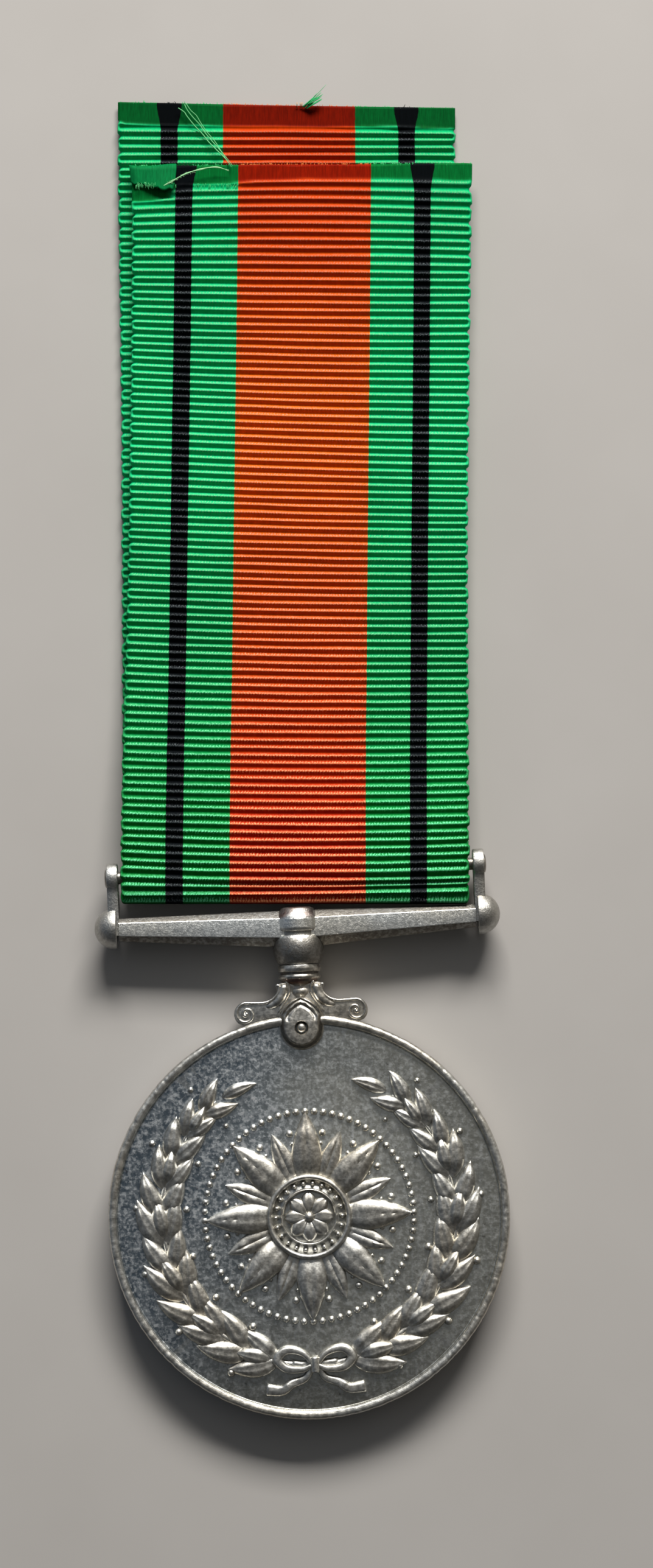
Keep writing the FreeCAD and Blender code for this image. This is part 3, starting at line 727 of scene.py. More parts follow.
def leaf(shape, base, angle, length, width, high, bend=0.0, veins=5,
         low=0.07):
    """full pointed leaf with a sunk midrib and soft side veins"""
    rows, cols = 21, 15
    s = np.linspace(0.0, 1.0, rows)[:, None]
    t = np.sin(np.linspace(-1, 1, cols) * math.pi / 2)[None, :]
    turn = angle + bend * s
    step = length / (rows - 1)
    cx = base[0] + np.concatenate([[0], np.cumsum(
        np.cos(turn[:-1, 0]) * step)])[:, None]
    cy = base[1] + np.concatenate([[0], np.cumsum(
        np.sin(turn[:-1, 0]) * step)])[:, None]
    half = width / 2 * (np.sin(math.pi * s ** 0.80) ** 0.78
                        * (1 - 0.10 * s) + 0.04)
    x = cx - np.sin(turn) * half * t
    y = cy + np.cos(turn) * half * t
    body = np.sqrt(np.clip(1 - np.abs(t) ** 2, 0, 1))
    along = smooth(-0.10, 0.42, s) * (1 - 0.60 * smooth(0.66, 1.0, s))
    high = high * 1.22
    h = low + (high - low) * along * (0.10 + 0.90 * body)
    rib = np.exp(-(t / 0.13) ** 2) * (1 - smooth(0.75, 1.0, s)) * 0.12
    vein = (np.cos((s * veins * 2 - np.abs(t) * 1.5) * math.pi) * 0.5 + 0.5)
    h = h - rib * along - 0.035 * vein ** 5 * body * along
    h = np.where(np.abs(t) > 0.999, np.minimum(h, low + 0.04), h)
    relief_patch(shape, np.column_stack([x.ravel(), y.ravel()]),
                 np.broadcast_to(h, (rows, cols)).ravel(), rows, cols)


def bead(shape, u, v, r, high, rings=6, seg=18, stretch=1.0, angle=0.0):
    """small domed pellet, closed under the field"""
    pts, lift = [], []
    ca, sa = math.cos(angle), math.sin(angle)
    turn = np.arange(seg) * 2 * math.pi / seg
    for k in range(rings + 1):
        a = k / rings * math.pi / 2
        rr = r * math.sin(a) * 1.0
        h = high * math.cos(a)
        if k == 0:
            pts.append([[u, v, FIELD + h]])
            lift.append([h])
        else:
            x, y = rr * np.cos(turn) * stretch, rr * np.sin(turn)
            pts.append(np.column_stack([u + ca * x - sa * y,
                                        v + sa * x + ca * y,
                                        np.full(seg, FIELD + h)]))
            lift.append(np.full(seg, h))
    x, y = r * 1.02 * np.cos(turn) * stretch, r * 1.02 * np.sin(turn)
    pts.append(np.column_stack([u + ca * x - sa * y, v + sa * x + ca * y,
                                np.full(seg, FIELD - 0.12)]))
    lift.append(np.zeros(seg))
    faces = [(0, 1 + j, 1 + (j + 1) % seg) for j in range(seg)]
    for k in range(rings):
        a, b = 1 + k * seg, 1 + (k + 1) * seg
        faces += [(a + j, b + j, b + (j + 1) % seg, a + (j + 1) % seg)
                  for j in range(seg)]
    last = 1 + rings * seg
    faces.append([last + j for j in range(seg)][::-1])
    shape.add(np.concatenate(pts), faces, lift=np.concatenate(lift))


def ridge(shape, path, half, high, cols=9, power=0.5, dish=0.0, low=0.0):
    """raised band along (u, v) points with a rounded top"""
    path = np.asarray(path, float)
    rows = len(path)
    tangent = np.gradient(path, axis=0)
    tangent /= np.linalg.norm(tangent, axis=1)[:, None] + 1e-12
    side = np.stack([-tangent[:, 1], tangent[:, 0]], 1)
    half = np.broadcast_to(np.asarray(half, float), (rows,))
    high = np.broadcast_to(np.asarray(high, float), (rows,))
    t = np.sin(np.linspace(-1, 1, cols) * math.pi / 2)
    pts = (path[:, None] + side[:, None] * (half[:, None] * t[None])[..., None])
    shape_t = np.clip(1 - t ** 2, 0, 1) ** power
    shape_t = shape_t - dish * np.exp(-(t / 0.45) ** 2)
    h = low + (high[:, None] - low) * shape_t[None]
    relief_patch(shape, pts.reshape(-1, 2), h.ravel(), rows, cols)


def ray(shape, angle, r0, r1, half, high):
    """faceted ray of the star"""
    rows = 16
    t = np.array([-1, -0.97, -0.7, -0.35, -0.06, 0, 0.06, 0.35, 0.7, 0.97, 1])
    s = np.linspace(0, 1, rows)[:, None]
    r = r0 + (r1 - r0) * s
    grow = np.where(s < 0.22, 0.72 + 0.28 * s / 0.22, (1 - s) / 0.78)
    wide = half * np.maximum(grow, 0.015)
    tall = high * np.maximum(1 - 0.72 * s, 0.05)
    cos, sin = math.cos(angle), math.sin(angle)
    x = r * cos - wide * t * sin
    y = r * sin + wide * t * cos
    h = tall * (1 - np.abs(t)[None] * 0.86)
    h = np.where(np.abs(t)[None] > 0.96, tall * 0.10, h)
    h = np.where(np.abs(t)[None] > 0.99, 0.0, h)
    relief_patch(shape, np.column_stack([x.ravel(), y.ravel()]),
                 h.ravel(), rows, len(t))


wreath = {1: Shape(), -1: Shape()}
STEM_R = 13.15
for side in (1, -1):
    shape = wreath[side]
    arc = np.radians(np.linspace(-9, 143, 90))
    wander = 0.10 * np.sin(arc * 9.0 + side)
    path = np.column_stack([side * (STEM_R + wander) * np.sin(arc),
                            -(STEM_R + wander) * np.cos(arc)])
    ridge(shape, path, np.linspace(0.36, 0.16, 90),
          np.linspace(0.36, 0.18, 90), cols=7)
    count = 12
    for k in range(count):
        a = math.radians(14.0 + k * 11.0)
        u, v = STEM_R * math.sin(a), -STEM_R * math.cos(a)
        run = a                       # direction of travel, from +u
        size = 1.0 - 0.26 * max(0.0, (k - 6) / 5.0)
        size *= 1.0 + 0.05 * math.sin(k * 2.4 + side)
        for lean, w, hgt, length in ((-0.52, 1.95, 0.60, 4.7),
                                     (0.58, 1.90, 0.56, 4.5)):
            ang = run + lean + 0.06 * math.sin(k * 1.7 + lean)
            b = (u + 0.15 * math.cos(run), v + 0.15 * math.sin(run))
            if side < 0:
                leaf(shape, (-b[0], b[1]), math.pi - ang, length * size,
                     w * size, hgt, bend=-(0.42 if lean < 0 else -0.20))
            else:
                leaf(shape, b, ang, length * size, w * size, hgt,
                     bend=0.42 if lean < 0 else -0.20)
        if k % 2 == 0 and k < count - 1:
            ang = run + 0.10
            b = (u + 0.5 * math.cos(run), v + 0.5 * math.sin(run))
            args = ((-b[0], b[1]), math.pi - ang) if side < 0 else (b, ang)
            leaf(shape, *args, 3.9 * size, 1.65 * size, 0.74,
                 bend=-0.2 * side)
        if k % 2 == 1:
            for off, rad, more in ((2.35, 0.36, 4.0), (-2.15, 0.34, 4.5)):
                rr = STEM_R + off
                a2 = a + math.radians(more)
                bu, bv = rr * math.sin(a2), -rr * math.cos(a2)
                bead(shape, side * bu, bv, rad * size, 0.44)
    a = math.radians(14.0 + count * 11.0)
    u, v = STEM_R * math.sin(a), -STEM_R * math.cos(a)
    args = ((-u, v), math.pi - (a + 0.12)) if side < 0 else ((u, v), a + 0.12)
    leaf(shape, *args, 3.3, 1.25, 0.46, bend=0.25 * side)

# a star of eight full leaves with smaller ones behind them
star = Shape()
for k in range(8):
    a = math.pi / 2 + math.pi / 8 + k * math.pi / 4
    leaf(star, (3.1 * math.cos(a), 3.1 * math.sin(a)), a, 4.9, 1.9, 0.42,
         veins=4, low=0.10)
for k in range(8):
    a = math.pi / 2 + k * math.pi / 4
    leaf(star, (2.7 * math.cos(a), 2.7 * math.sin(a)), a, 6.5, 2.75, 0.72,
         veins=5, low=0.16)
for k in range(16):
    a = math.pi / 2 + math.pi / 16 + k * math.pi / 8
    c, s = math.cos(a), math.sin(a)
    bead(star, 7.55 * c, 7.55 * s, 0.33, 0.36)
    bead(star, 6.62 * c, 6.62 * s, 0.20, 0.24)

heart = Shape()
for radius, half, high in ((3.55, 0.32, 0.86), (2.42, 0.15, 0.80)):
    points = []
    cols = 11
    for a in np.linspace(0, 2 * math.pi, 97)[:-1]:
        for q in np.linspace(-1, 1, cols):
            r = radius + half * q
            h = high * (0.30 + 0.70 * math.sqrt(max(0.0, 1 - q * q)))
            if abs(q) == 1:
                h = -0.12
            points.append((r * math.cos(a), r * math.sin(a), FIELD + h))
    faces = grid(96, cols, close_rows=True).tolist()
    faces += [[((i + 1) % 96) * cols, i * cols, i * cols + cols - 1,
               ((i + 1) % 96) * cols + cols - 1] for i in range(96)]
    lift = [max(0.0, p[2] - FIELD) for p in points]
    heart.add(points, faces, lift=lift)
for k in range(22):
    a = k * 2 * math.pi / 22
    bead(heart, 2.98 * math.cos(a), 2.98 * math.sin(a), 0.30, 0.74, seg=14)
lathe(heart, [(0, FIELD + 0.40), (0.8, FIELD + 0.40), (1.6, FIELD + 0.40),
              (3.5, FIELD + 0.38), (3.5, FIELD - 0.12), (0, FIELD - 0.12)],
      (0, 0, 0), (0, 0, 1), 48, lift=0.12)
for k in range(8):
    a = math.pi / 2 + k * math.pi / 4
    rows, cols = 13, 11
    s = np.linspace(0, 1, rows)[:, None]
    t = np.sin(np.linspace(-1, 1, cols) * math.pi / 2)[None]
    r = 0.40 + 1.75 * s
    half = 0.74 * (np.sin(math.pi * (0.06 + 0.86 * s)) ** 0.75)
    h = 0.42 + 0.46 * (np.sqrt(np.clip(1 - t ** 2, 0, 1))
                       * np.sin(math.pi * (0.15 + 0.75 * s)) ** 0.6) \
        - 0.10 * np.exp(-(t / 0.2) ** 2)
    x = r * math.cos(a) - half * t * math.sin(a)
    y = r * math.sin(a) + half * t * math.cos(a)
    relief_patch(heart, np.column_stack([x.ravel(), y.ravel()]),
                 h.ravel(), rows, cols)
bead(heart, 0, 0, 0.62, 1.02, rings=8, seg=28)

ring = Shape()
for k in range(72):
    a = k * 2 * math.pi / 72
    r = 9.35
    bead(ring, r * math.cos(a), r * math.sin(a), 0.32, 0.36, seg=14, rings=5)

bow = Shape()
for side in (1, -1):
    loop = spline([(0.2, -13.0), (1.1, -12.05), (2.5, -11.75), (3.35, -12.5),
                   (2.6, -13.35), (1.2, -13.5), (0.2, -13.15)], 8)
    loop[:, 0] *= side
    ridge(bow, loop, np.interp(np.linspace(0, 1, len(loop)),
                               [0, 0.3, 0.5, 0.7, 1],
                               [0.25, 0.42, 0.5, 0.42, 0.25]),
          0.80, cols=9, power=0.4, dish=0.16)
    tail = spline([(0.25, -13.3), (0.9, -14.3), (2.1, -14.75),
                   (3.0, -15.3), (4.4, -15.2)], 8)
    tail[:, 0] *= side
    ridge(bow, tail, np.linspace(0.28, 0.55, len(tail)),
          np.interp(np.linspace(0, 1, len(tail)), [0, 0.4, 0.6, 1],
                    [0.7, 0.45, 0.62, 0.40]), cols=9, power=0.35, dish=0.14)
ridge(bow, spline([(0, -12.45), (0, -12.9), (0, -13.3), (0, -13.75)], 5),
      0.52, 0.98, cols=11, power=0.45)

relief = []
relief.append(wreath[1].build("relief_wreath_right", DISC_METAL,
                              "disc_metal"))
relief.append(wreath[-1].build("relief_wreath_left", DISC_METAL,
                               "disc_metal"))
relief.append(star.build("relief_star", DISC_METAL, "disc_metal",
                         flat_over=40))
relief.append(heart.build("relief_rosette", DISC_METAL, "disc_metal"))
relief.append(ring.build("relief_beading", DISC_METAL, "disc_metal"))
relief.append(bow.build("relief_bow", DISC_METAL, "disc_metal"))

# --------------------------------------------------------------------------
# claw: cheeks with pointed tops, scroll plate with volutes, turned neck
# --------------------------------------------------------------------------
PIN = 16.86


def cheek_outline():
    """closed outline of a cheek, counter-clockwise, seen from the front"""
    pts = []
    for a in np.radians(np.linspace(180, 360, 61)):
        pts.append((2.0 * math.cos(a), PIN + 2.0 * math.sin(a)))
    pts += [(2.0, 17.2), (2.0, 17.6), (2.0, 18.0)]
    a0, a1 = np.array([2.0, 18.0]), np.array([0.0, 19.75])
    run = a1 - a0
    half = np.linalg.norm(run) / 2
    out = np.array([run[1], -run[0]]) / (2 * half)
    centre = (a0 + a1) / 2 - out * math.sqrt(3.2 ** 2 - half ** 2)
    t0 = math.atan2(*(a0 - centre)[::-1])
    t1 = math.atan2(*(a1 - centre)[::-1])
    right = [tuple(centre + 3.2 * np.array([math.cos(t), math.sin(t)]))
             for t in np.linspace(t0, t1, 20)][1:]
    pts += right
    pts += [(-x, y) for x, y in right[:-1][::-1]]
    pts += [(-2.0, 18.0), (-2.0, 17.6), (-2.0, 17.2)]
    return np.array(pts)


def ray_reach(outline, centre, angles):
    """distance from centre to the outline along each angle"""
    a = outline - centre
    b = np.roll(a, -1, 0)
    out = []
    for t in angles:
        d = np.array([math.cos(t), math.sin(t)])
        e = b - a
        den = d[0] * e[:, 1] - d[1] * e[:, 0]
        den = np.where(np.abs(den) < 1e-12, 1e-12, den)
        dist = (a[:, 0] * e[:, 1] - a[:, 1] * e[:, 0]) / den
        pos = (a[:, 0] * d[1] - a[:, 1] * d[0]) / den
        good = (dist > 0) & (pos >= -1e-6) & (pos <= 1 + 1e-6)
        out.append(dist[good].min())
    return np.array(out)


claw = Shape()
edge = cheek_outline()
fan = np.arange(160) * 2 * math.pi / 160
reach = ray_reach(edge, np.array([0.0, PIN]), fan)
# distance to the outline's nearest side, for the mouldings of the top
dense = spline(np.column_stack([edge, np.zeros(len(edge))]), 4,
               closed=True)[:, :2]
for front in (1, -1):
    pts, lift = [], []
    shares = np.concatenate([[0.0], np.linspace(0, 1, 34)[1:]])
    upper = smooth(0.35, 0.75, np.sin(fan))
    level = []
    for k in range(35):
        if k == 0:
            r = np.full(160, 0.53)
        else:
            r = 0.60 + (reach - 0.60) * (k - 1) / 33.0
        x, y = r * np.cos(fan), PIN + r * np.sin(fan)
        p = np.column_stack([x, y])
        gap = np.sqrt(((p[:, None] - dense[None]) ** 2).sum(2)).min(1)
        if k == 34:
            gap[:] = 0
        # round side below, double ridge along the pointed top
        bevel = 1.92 - 0.75 * (1 - smooth(0.0, 0.62, gap)) ** 1.3
        face = bevel - 0.03 * smooth(1.0, 1.4, r) * (1 - upper)
        double = (1.66 + 0.15 * np.exp(-((gap - 0.17) / 0.10) ** 2)
                  + 0.15 * np.exp(-((gap - 0.51) / 0.10) ** 2)
                  - 0.35 * np.exp(-(gap / 0.06) ** 2)
                  + 0.24 * smooth(0.68, 1.00, gap))
        w = face * (1 - upper) + np.minimum(double, 1.93) * upper
        w = w - 0.22 * np.clip((y - PIN - 0.55) / 1.6, 0, 1) * smooth(
            0.60, 1.00, gap)
        if k == 0:
            w = np.full(160, 1.60)
        elif k == 1:
            w = w - 0.10
        pts.append(np.column_stack([x, y, w * front]))
        # painted shade: a dark band along the round side and dark grooves beside the
        # double ridge on top
        lift.append(0.85 * smooth(0.06, 0.20, gap) * smooth(0.62, 0.36, gap)
                    * (1 - upper) + upper * 0.85 * (
                        np.exp(-((gap - 0.34) / 0.045) ** 2)
                        + 0.8 * np.exp(-((gap - 0.68) / 0.05) ** 2)))
    # down the side to the slot, then inwards behind the cheek
    x, y = reach * np.cos(fan), PIN + reach * np.sin(fan)
    pts.append(np.column_stack([x, y, np.full(160, 1.08 * front)]))
    x, y = 0.5 * np.cos(fan), PIN + 0.5 * np.sin(fan)
    pts.append(np.column_stack([x, y, np.full(160, 1.08 * front)]))
    x, y = 0.6 * np.cos(fan), PIN + 0.6 * np.sin(fan)
    pts.append(np.column_stack([x, y, np.full(160, 1.56 * front)]))
    count = len(pts)
    faces = grid(count, 160, close_rows=True, close_cols=True)
    painted_shade_amount = np.concatenate([np.concatenate(lift), np.zeros(160 * 3)])
    claw.add(np.concatenate(pts), faces.tolist(), grime=painted_shade_amount)

# scroll plate: its outline on one side, from the neck round to the disc
C_VOL = np.array([4.95, 18.26])


def plate_side():
    pts = [(0.0, 21.0), (1.60, 20.96)]
    pts += [(1.98 + 0.19 * math.cos(a), 20.66 + 0.19 * math.sin(a))
            for a in np.radians(np.linspace(100, -50, 9))]
    a0, a1 = np.array([2.10, 20.28]), np.array([3.12, 19.36])
    run = a1 - a0
    half = np.linalg.norm(run) / 2
    n = np.array([-run[1], run[0]]) / (2 * half)
    centre = (a0 + a1) / 2 + n * math.sqrt(0.98 ** 2 - half ** 2)
    t0 = math.atan2(*(a0 - centre)[::-1])
    t1 = math.atan2(*(a1 - centre)[::-1])
    if t1 < t0:
        t1 += 2 * math.pi
    pts += [tuple(centre + 0.98 * np.array([math.cos(t), math.sin(t)]))
            for t in np.linspace(t0, t1, 12)]
    pts += [(3.7, 19.35), (4.3, 19.345)]
    pts += [(C_VOL[0] + 1.08 * math.cos(a), C_VOL[1] + 1.08 * math.sin(a))
            for a in np.radians(np.linspace(90, -50, 28))]
    return pts


side_pts = plate_side()
low_r = 18.05
end = np.array(side_pts[-1])
phi = math.atan2(end[0], end[1])
for t in np.linspace(phi, 0, 18)[1:]:
    side_pts.append((low_r * math.sin(t), low_r * math.cos(t)))
half_plate = np.array(side_pts)
if np.hypot(*half_plate[len(side_pts) - 18]) < low_r:
    keep = np.hypot(half_plate[:, 0], half_plate[:, 1]) > low_r - 1e-6
    half_plate = half_plate[keep]
outline = np.concatenate([half_plate, np.column_stack(
    [-half_plate[1:-1, 0], half_plate[1:-1, 1]])[::-1]])
outline = outline[::-1]           # counter-clockwise
area = np.sum(outline[:, 0] * np.roll(outline[:, 1], -1)
              - outline[:, 1] * np.roll(outline[:, 0], -1))
if area < 0:
    outline = outline[::-1]
plate(claw, outline, [(0.10, -1.02), (0.03, -1.0), (0.0, -0.9), (0.0, 0.9),
                      (0.03, 1.0), (0.10, 1.02)], lambda p: p)


def arm_lines(side):
    """raised mouldings of an arm and its volute"""
    throat = [(2.12, 20.60), (2.02, 20.74), (1.89, 20.62), (1.92, 20.26),
              (2.13, 19.86), (2.60, 19.44), (3.20, 19.22), (3.95, 19.20),
              (4.5, 19.22)]
    outer = spline(throat, 6)
    turns = np.radians(np.linspace(90, 90 - 560, 110))
    shrink = np.linspace(0, 1, 110)
    rad = 0.92 * (1 - shrink) ** 0.95 + 0.07
    spiral = np.column_stack([C_VOL[0] - 0.04 * shrink + rad * np.cos(turns),
                              C_VOL[1] + rad * np.sin(turns)])
    path = np.concatenate([outer[:-3], spiral])
    inner = spline([(1.30, 21.0), (1.08, 20.86), (0.97, 20.45), (1.06, 19.95),
                    (1.40, 19.35), (1.78, 18.80), (2.10, 18.25)], 8)
    lobe = spline([(1.55, 20.85), (1.47, 20.45), (1.58, 19.95),
                   (1.98, 19.35), (2.66, 18.96), (3.35, 18.84),
                   (3.95, 18.80)], 8)
    widths = {id(path): (0.13, 0.165, 1.05), id(inner): (0.13, 0.11, 1.10),
              id(lobe): (0.44, 0.16, 0.90)}
    for pth in (path, inner, lobe):
        r0, r1, lo = widths[id(pth)]
        n = len(pth)
        radii = np.linspace(r0, r1, n)
        if pth is lobe:
            radii = np.interp(np.linspace(0, 1, n), [0, 0.15, 0.45, 0.7, 1],
                              [0.34, 0.48, 0.50, 0.36, 0.10])
        radii[:4] *= [0.45, 0.75, 0.92, 1.0]
        radii[-4:] *= [1.0, 0.9, 0.7, 0.4]
        for front in (1, -1):
            depth = np.full(n, lo)
            if pth is lobe:
                depth = lo - 0.28 * smooth(0.45, 1.0, np.linspace(0, 1, n))
            pts = np.column_stack([pth[:, 0] * side, pth[:, 1],
                                   depth * front])
            keep = np.hypot(pts[:, 0], pts[:, 1]) > low_r - 0.05
            last = np.nonzero(keep)[0]
            sweep(claw, pts[last], radii[last], sides=12)
    for front in (1, -1):
        lathe(claw, [(0, 1.19 * front), (0.10, 1.17 * front),
                     (0.16, 1.11 * front), (0.18, 1.03 * front),
                     (0.18, 0.9 * front), (0, 0.9 * front)],
              (side * (C_VOL[0] - 0.05), C_VOL[1], 0), (0, 0, 1), 24)


for side in (1, -1):
    arm_lines(side)
neck = fillet([(0, 18.4), (1.05, 18.45, 0.1), (1.02, 19.5, 0.8),
               (1.34, 20.12, 0.5), (1.04, 20.62, 0.2), (1.50, 20.92, 0.12),
               (1.66, 21.0, 0.1),
               (1.70, 21.24, 0.04),
               (1.84, 21.27, 0.06), (1.91, 21.45, 0.12), (1.84, 21.64, 0.06),
               (1.70, 21.68, 0.03), (1.70, 21.88, 0.03), (1.90, 21.92, 0.08),
               (1.97, 22.20, 0.2), (1.92, 22.50, 0.08), (1.7, 22.53, 0.03),
               (1.0, 22.53, 0.0), (1.0, 25.1), (0, 25.1)], 4)
# painted shade on the neck under the first ring and in the groove between the rings
lathe(claw, [tuple(p) for p in neck], (0, 0, 0), (0, 1, 0), 96,
      copper=np.concatenate([
          np.repeat(np.interp(y, [20.6, 20.9, 21.2, 21.3], [0, 1, 1, 0]),
                    96 if r > 1e-7 else 1) for r, y in neck]),
      grime=np.concatenate([
          np.repeat(np.interp(y, [20.62, 20.9, 21.2, 21.26, 21.64, 21.68,
                                  21.88, 21.91],
                              [0, 0.8, 0.8, 0, 0, 0.9, 0.9, 0]),
                    96 if r > 1e-7 else 1) for r, y in neck]))
claw_obj = claw.build("cast_claw", FITTING_METAL, "fitting_metal",
                      flat_over=50)
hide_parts("scroll_claw")

# pin: straight through, domed at both ends
rivet = Shape()
dome = [(0, 1.93)] + [(0.42 * math.sin(a), 1.60 + 0.33 * math.cos(a))
                      for a in np.radians(np.linspace(12, 90, 9))]
dome += [(0.385, 1.55)]
prof = dome + [(r, -h) for r, h in dome[::-1]]
lathe(rivet, prof, (0, PIN, 0), (0, 0, 1), 40)
pin_obj = rivet.build("domed_pin", FITTING_METAL, "fitting_metal")
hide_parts("claw_pin")

# --------------------------------------------------------------------------
# suspender bar: tapered bar, ball, band, cap, end bulbs and ears
# --------------------------------------------------------------------------
bar = Shape()


def bar_section(share):
    def mixed(a, b):
        return a + (b - a) * share
    top, line = mixed(27.46, 27.32), mixed(26.7, 26.9)
    foot, low = mixed(24.96, 25.75), mixed(24.04, 25.28)
    face = mixed(1.3, 0.95)
    half = [(low, 0.45), (foot, face), (line, face), (top, 0.45)]
    pts = half + [(v, -w) for v, w in half[::-1]]
    loop = pts + pts[:2]
    soft = fillet([(v, w, 0.10) for v, w in [pts[-1]] + loop], 3)
    return soft[1:-5]


stations = np.concatenate([np.linspace(-1, 1, 41)])
sections = []
for s in stations:
    sec = bar_section(abs(s))
    sections.append(np.column_stack([np.full(len(sec), s * 16.1), sec]))
m = len(sections[0])
faces = grid(len(sections), m, close_cols=True).tolist()
faces.append(list(range(m)))
faces.append(list(range((len(sections) - 1) * m, len(sections) * m)))
# painted shade on the lower bevel and on the top chamfer
painted_shade_amount = []
for s, sec in zip(stations, sections):
    v, w = sec[:, 1], sec[:, 2]
    foot = 24.96 + (25.75 - 24.96) * abs(s)
    line = 26.7 + (26.9 - 26.7) * abs(s)
    painted_shade_amount.append(np.where(v < foot - 0.012, 0.93,
                         np.where(v > line + 0.010, 0.90, 0.0)))
bar.add(np.concatenate(sections), faces, grime=np.concatenate(painted_shade_amount))

ball = ([(0, 22.60), (1.72, 22.60)]
        + [(2.3 * math.cos(a), 24.0 + 2.3 * math.sin(a))
           for a in np.radians(np.linspace(-37.5, 29.0, 28))]
        + [tuple(p) for p in fillet(
            [(2.005, 25.13), (1.95, 25.16, 0.04), (1.77, 25.16, 0.03),
             (1.75, 25.56, 0.03), (1.96, 25.6, 0.08), (2.05, 25.85, 0.12),
             (2.05, 26.62, 0.14), (1.98, 26.86, 0.12), (1.56, 27.60, 0.16),
             (1.30, 27.72, 0.1), (0.6, 27.73), (0, 27.73)], 4)])
# painted shade over most of the ball, in the groove under the cap, at the cap's
# lower edge and on its top bevel
lathe(bar, ball, (0, 0, 0), (0, 1, 0), 112,
      copper=np.concatenate([
          np.repeat(np.interp(y, [26.75, 26.95], [0, 1])
                    if y > 26 else 0.0, 112 if r > 1e-7 else 1)
          for r, y in ball]),
      grime=np.concatenate([
          np.repeat(np.interp(y, [22.6, 23.2, 24.3, 24.9, 25.16, 25.2, 25.56,
                                  25.6, 25.75, 26.0, 26.8, 26.95],
                              [0.85, 0.85, 0.88, 0.80, 0.1, 0.85, 0.85,
                               0.60, 0.4, 0.0, 0.0, 0.74]),
                    112 if r > 1e-7 else 1) for r, y in ball]))
for side in (1, -1):
    bulb = ([(0, 16.31)] + [(r, 16.31) for r in (0.8, 1.5)]
            + [(1.80, 16.31), (1.835, 16.36)]
            + [(1.85 * math.cos(a), 16.49 + 1.85 * math.sin(a))
               for a in np.radians(np.linspace(2, 86, 26))]
            + [(0, 18.34)])
    # painted shade on the bulb
    lathe(bar, bulb, (0, 26.45, 0), (side, 0, 0), 80, grime=0.64)
    # short round core in the groove between the bar's end and the bulb, with painted
    # shade
    core = [(0, 15.9), (0.78, 15.9), (0.78, 16.4), (0, 16.4)]
    lathe(bar, core, (0, 26.5, 0), (side, 0, 0), 24, grime=0.9)
    # ear: upright with a round eye round the rod, with painted shade on it
    eye = [(31.0 + 1.35 * math.cos(a), 1.35 * math.sin(a))
           for a in np.radians(np.linspace(-132, 132, 49))]
    upright = [(29.6, 0.90), (27.6, 0.90), (25.8, 0.90), (25.8, -0.90),
               (27.6, -0.90), (29.6, -0.90)]
    ear = np.array(eye + upright)            # counter-clockwise in (v, w)

    def ear_point(p, s=side):
        return np.column_stack([p[:, 2] * s, p[:, 0], p[:, 1]])

    plate(bar, ear, [(0.13, 16.06), (0.05, 16.08), (0.0, 16.18),
                     (0.0, 16.94), (0.05, 17.04), (0.13, 17.06)], ear_point,
          grime=0.52)
bar_obj = bar.build("cast_suspender", BAR_METAL, "fitting_metal",
                    flat_over=28)
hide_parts("suspender_bar")

rod = Shape()
heads = [(0, 17.27), (0.30, 17.265), (0.60, 17.24), (0.78, 17.19),
         (0.82, 17.13), (0.80, 17.09), (0.55, 17.085), (0.55, 16.0),
         (0.55, 8.0), (0.55, 0.0)]
prof = heads + [(r, -h) for r, h in heads[:-1][::-1]]
# painted shade on the rod
lathe(rod, prof, (0, 31.0, 0), (1, 0, 0), 40, grime=0.6)
rod_obj = rod.build("turned_rod", FITTING_METAL, "fitting_metal",
                    flat_over=45)
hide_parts("ribbon_rod")

# --------------------------------------------------------------------------
# ribbon: one ribbed strip over the rod, both layers lying upward
# --------------------------------------------------------------------------
ROD_LEAN = math.tan(TURN)
ROWS = np.array([
    (54.30, 0.01, 1.56, 0.0, 0.0, 31.4), (37.70, -0.13, 1.56, 0.0, 0.0, 31.1),
    (19.60, -0.33, 1.56, 0.0, 0.0, 31.0), (6.10, -0.46, 1.60, -3.0, 0.0, 31.3),
    (0.40, -0.54, 2.12, -8.0, 0.2, 31.4), (-5.10, -0.57, 3.05, -10.0, 0.6, 31.4),
    (-9.80, -0.58, 3.52, 0.0, 1.0, 31.4), (-11.60, -0.58, 3.53, 4.0, 1.0, 31.4),
    (-12.86, -0.58, 3.05, 34.0, 0.4, 31.4), (-13.36, -0.58, 2.71, 50.0, 0.0, 31.4),
    (-13.54, -0.58, 2.30, 90.0, 0.0, 31.4), (-13.36, -0.58, 1.90, 130.0, 0.0, 31.4),
    (-12.80, -0.58, 1.58, 158.0, 0.4, 31.4), (-11.20, -0.58, 1.32, 178.0, 1.0, 31.4),
    (-8.00, -0.60, 1.06, 174.0, 0.8, 31.4), (-2.00, -0.64, 0.58, 176.0, 0.2, 31.4),
    (1.80, -0.69, 0.50, 180.0, 0.0, 31.4), (13.00, -0.83, 0.50, 180.0, 0.0, 31.3),
    (30.00, -1.03, 0.50, 180.0, 0.0, 31.2), (50.60, -1.42, 0.50, 180.0, 0.0, 31.2),
    (60.20, -1.46, 0.50, 180.0, 0.0, 31.3)])


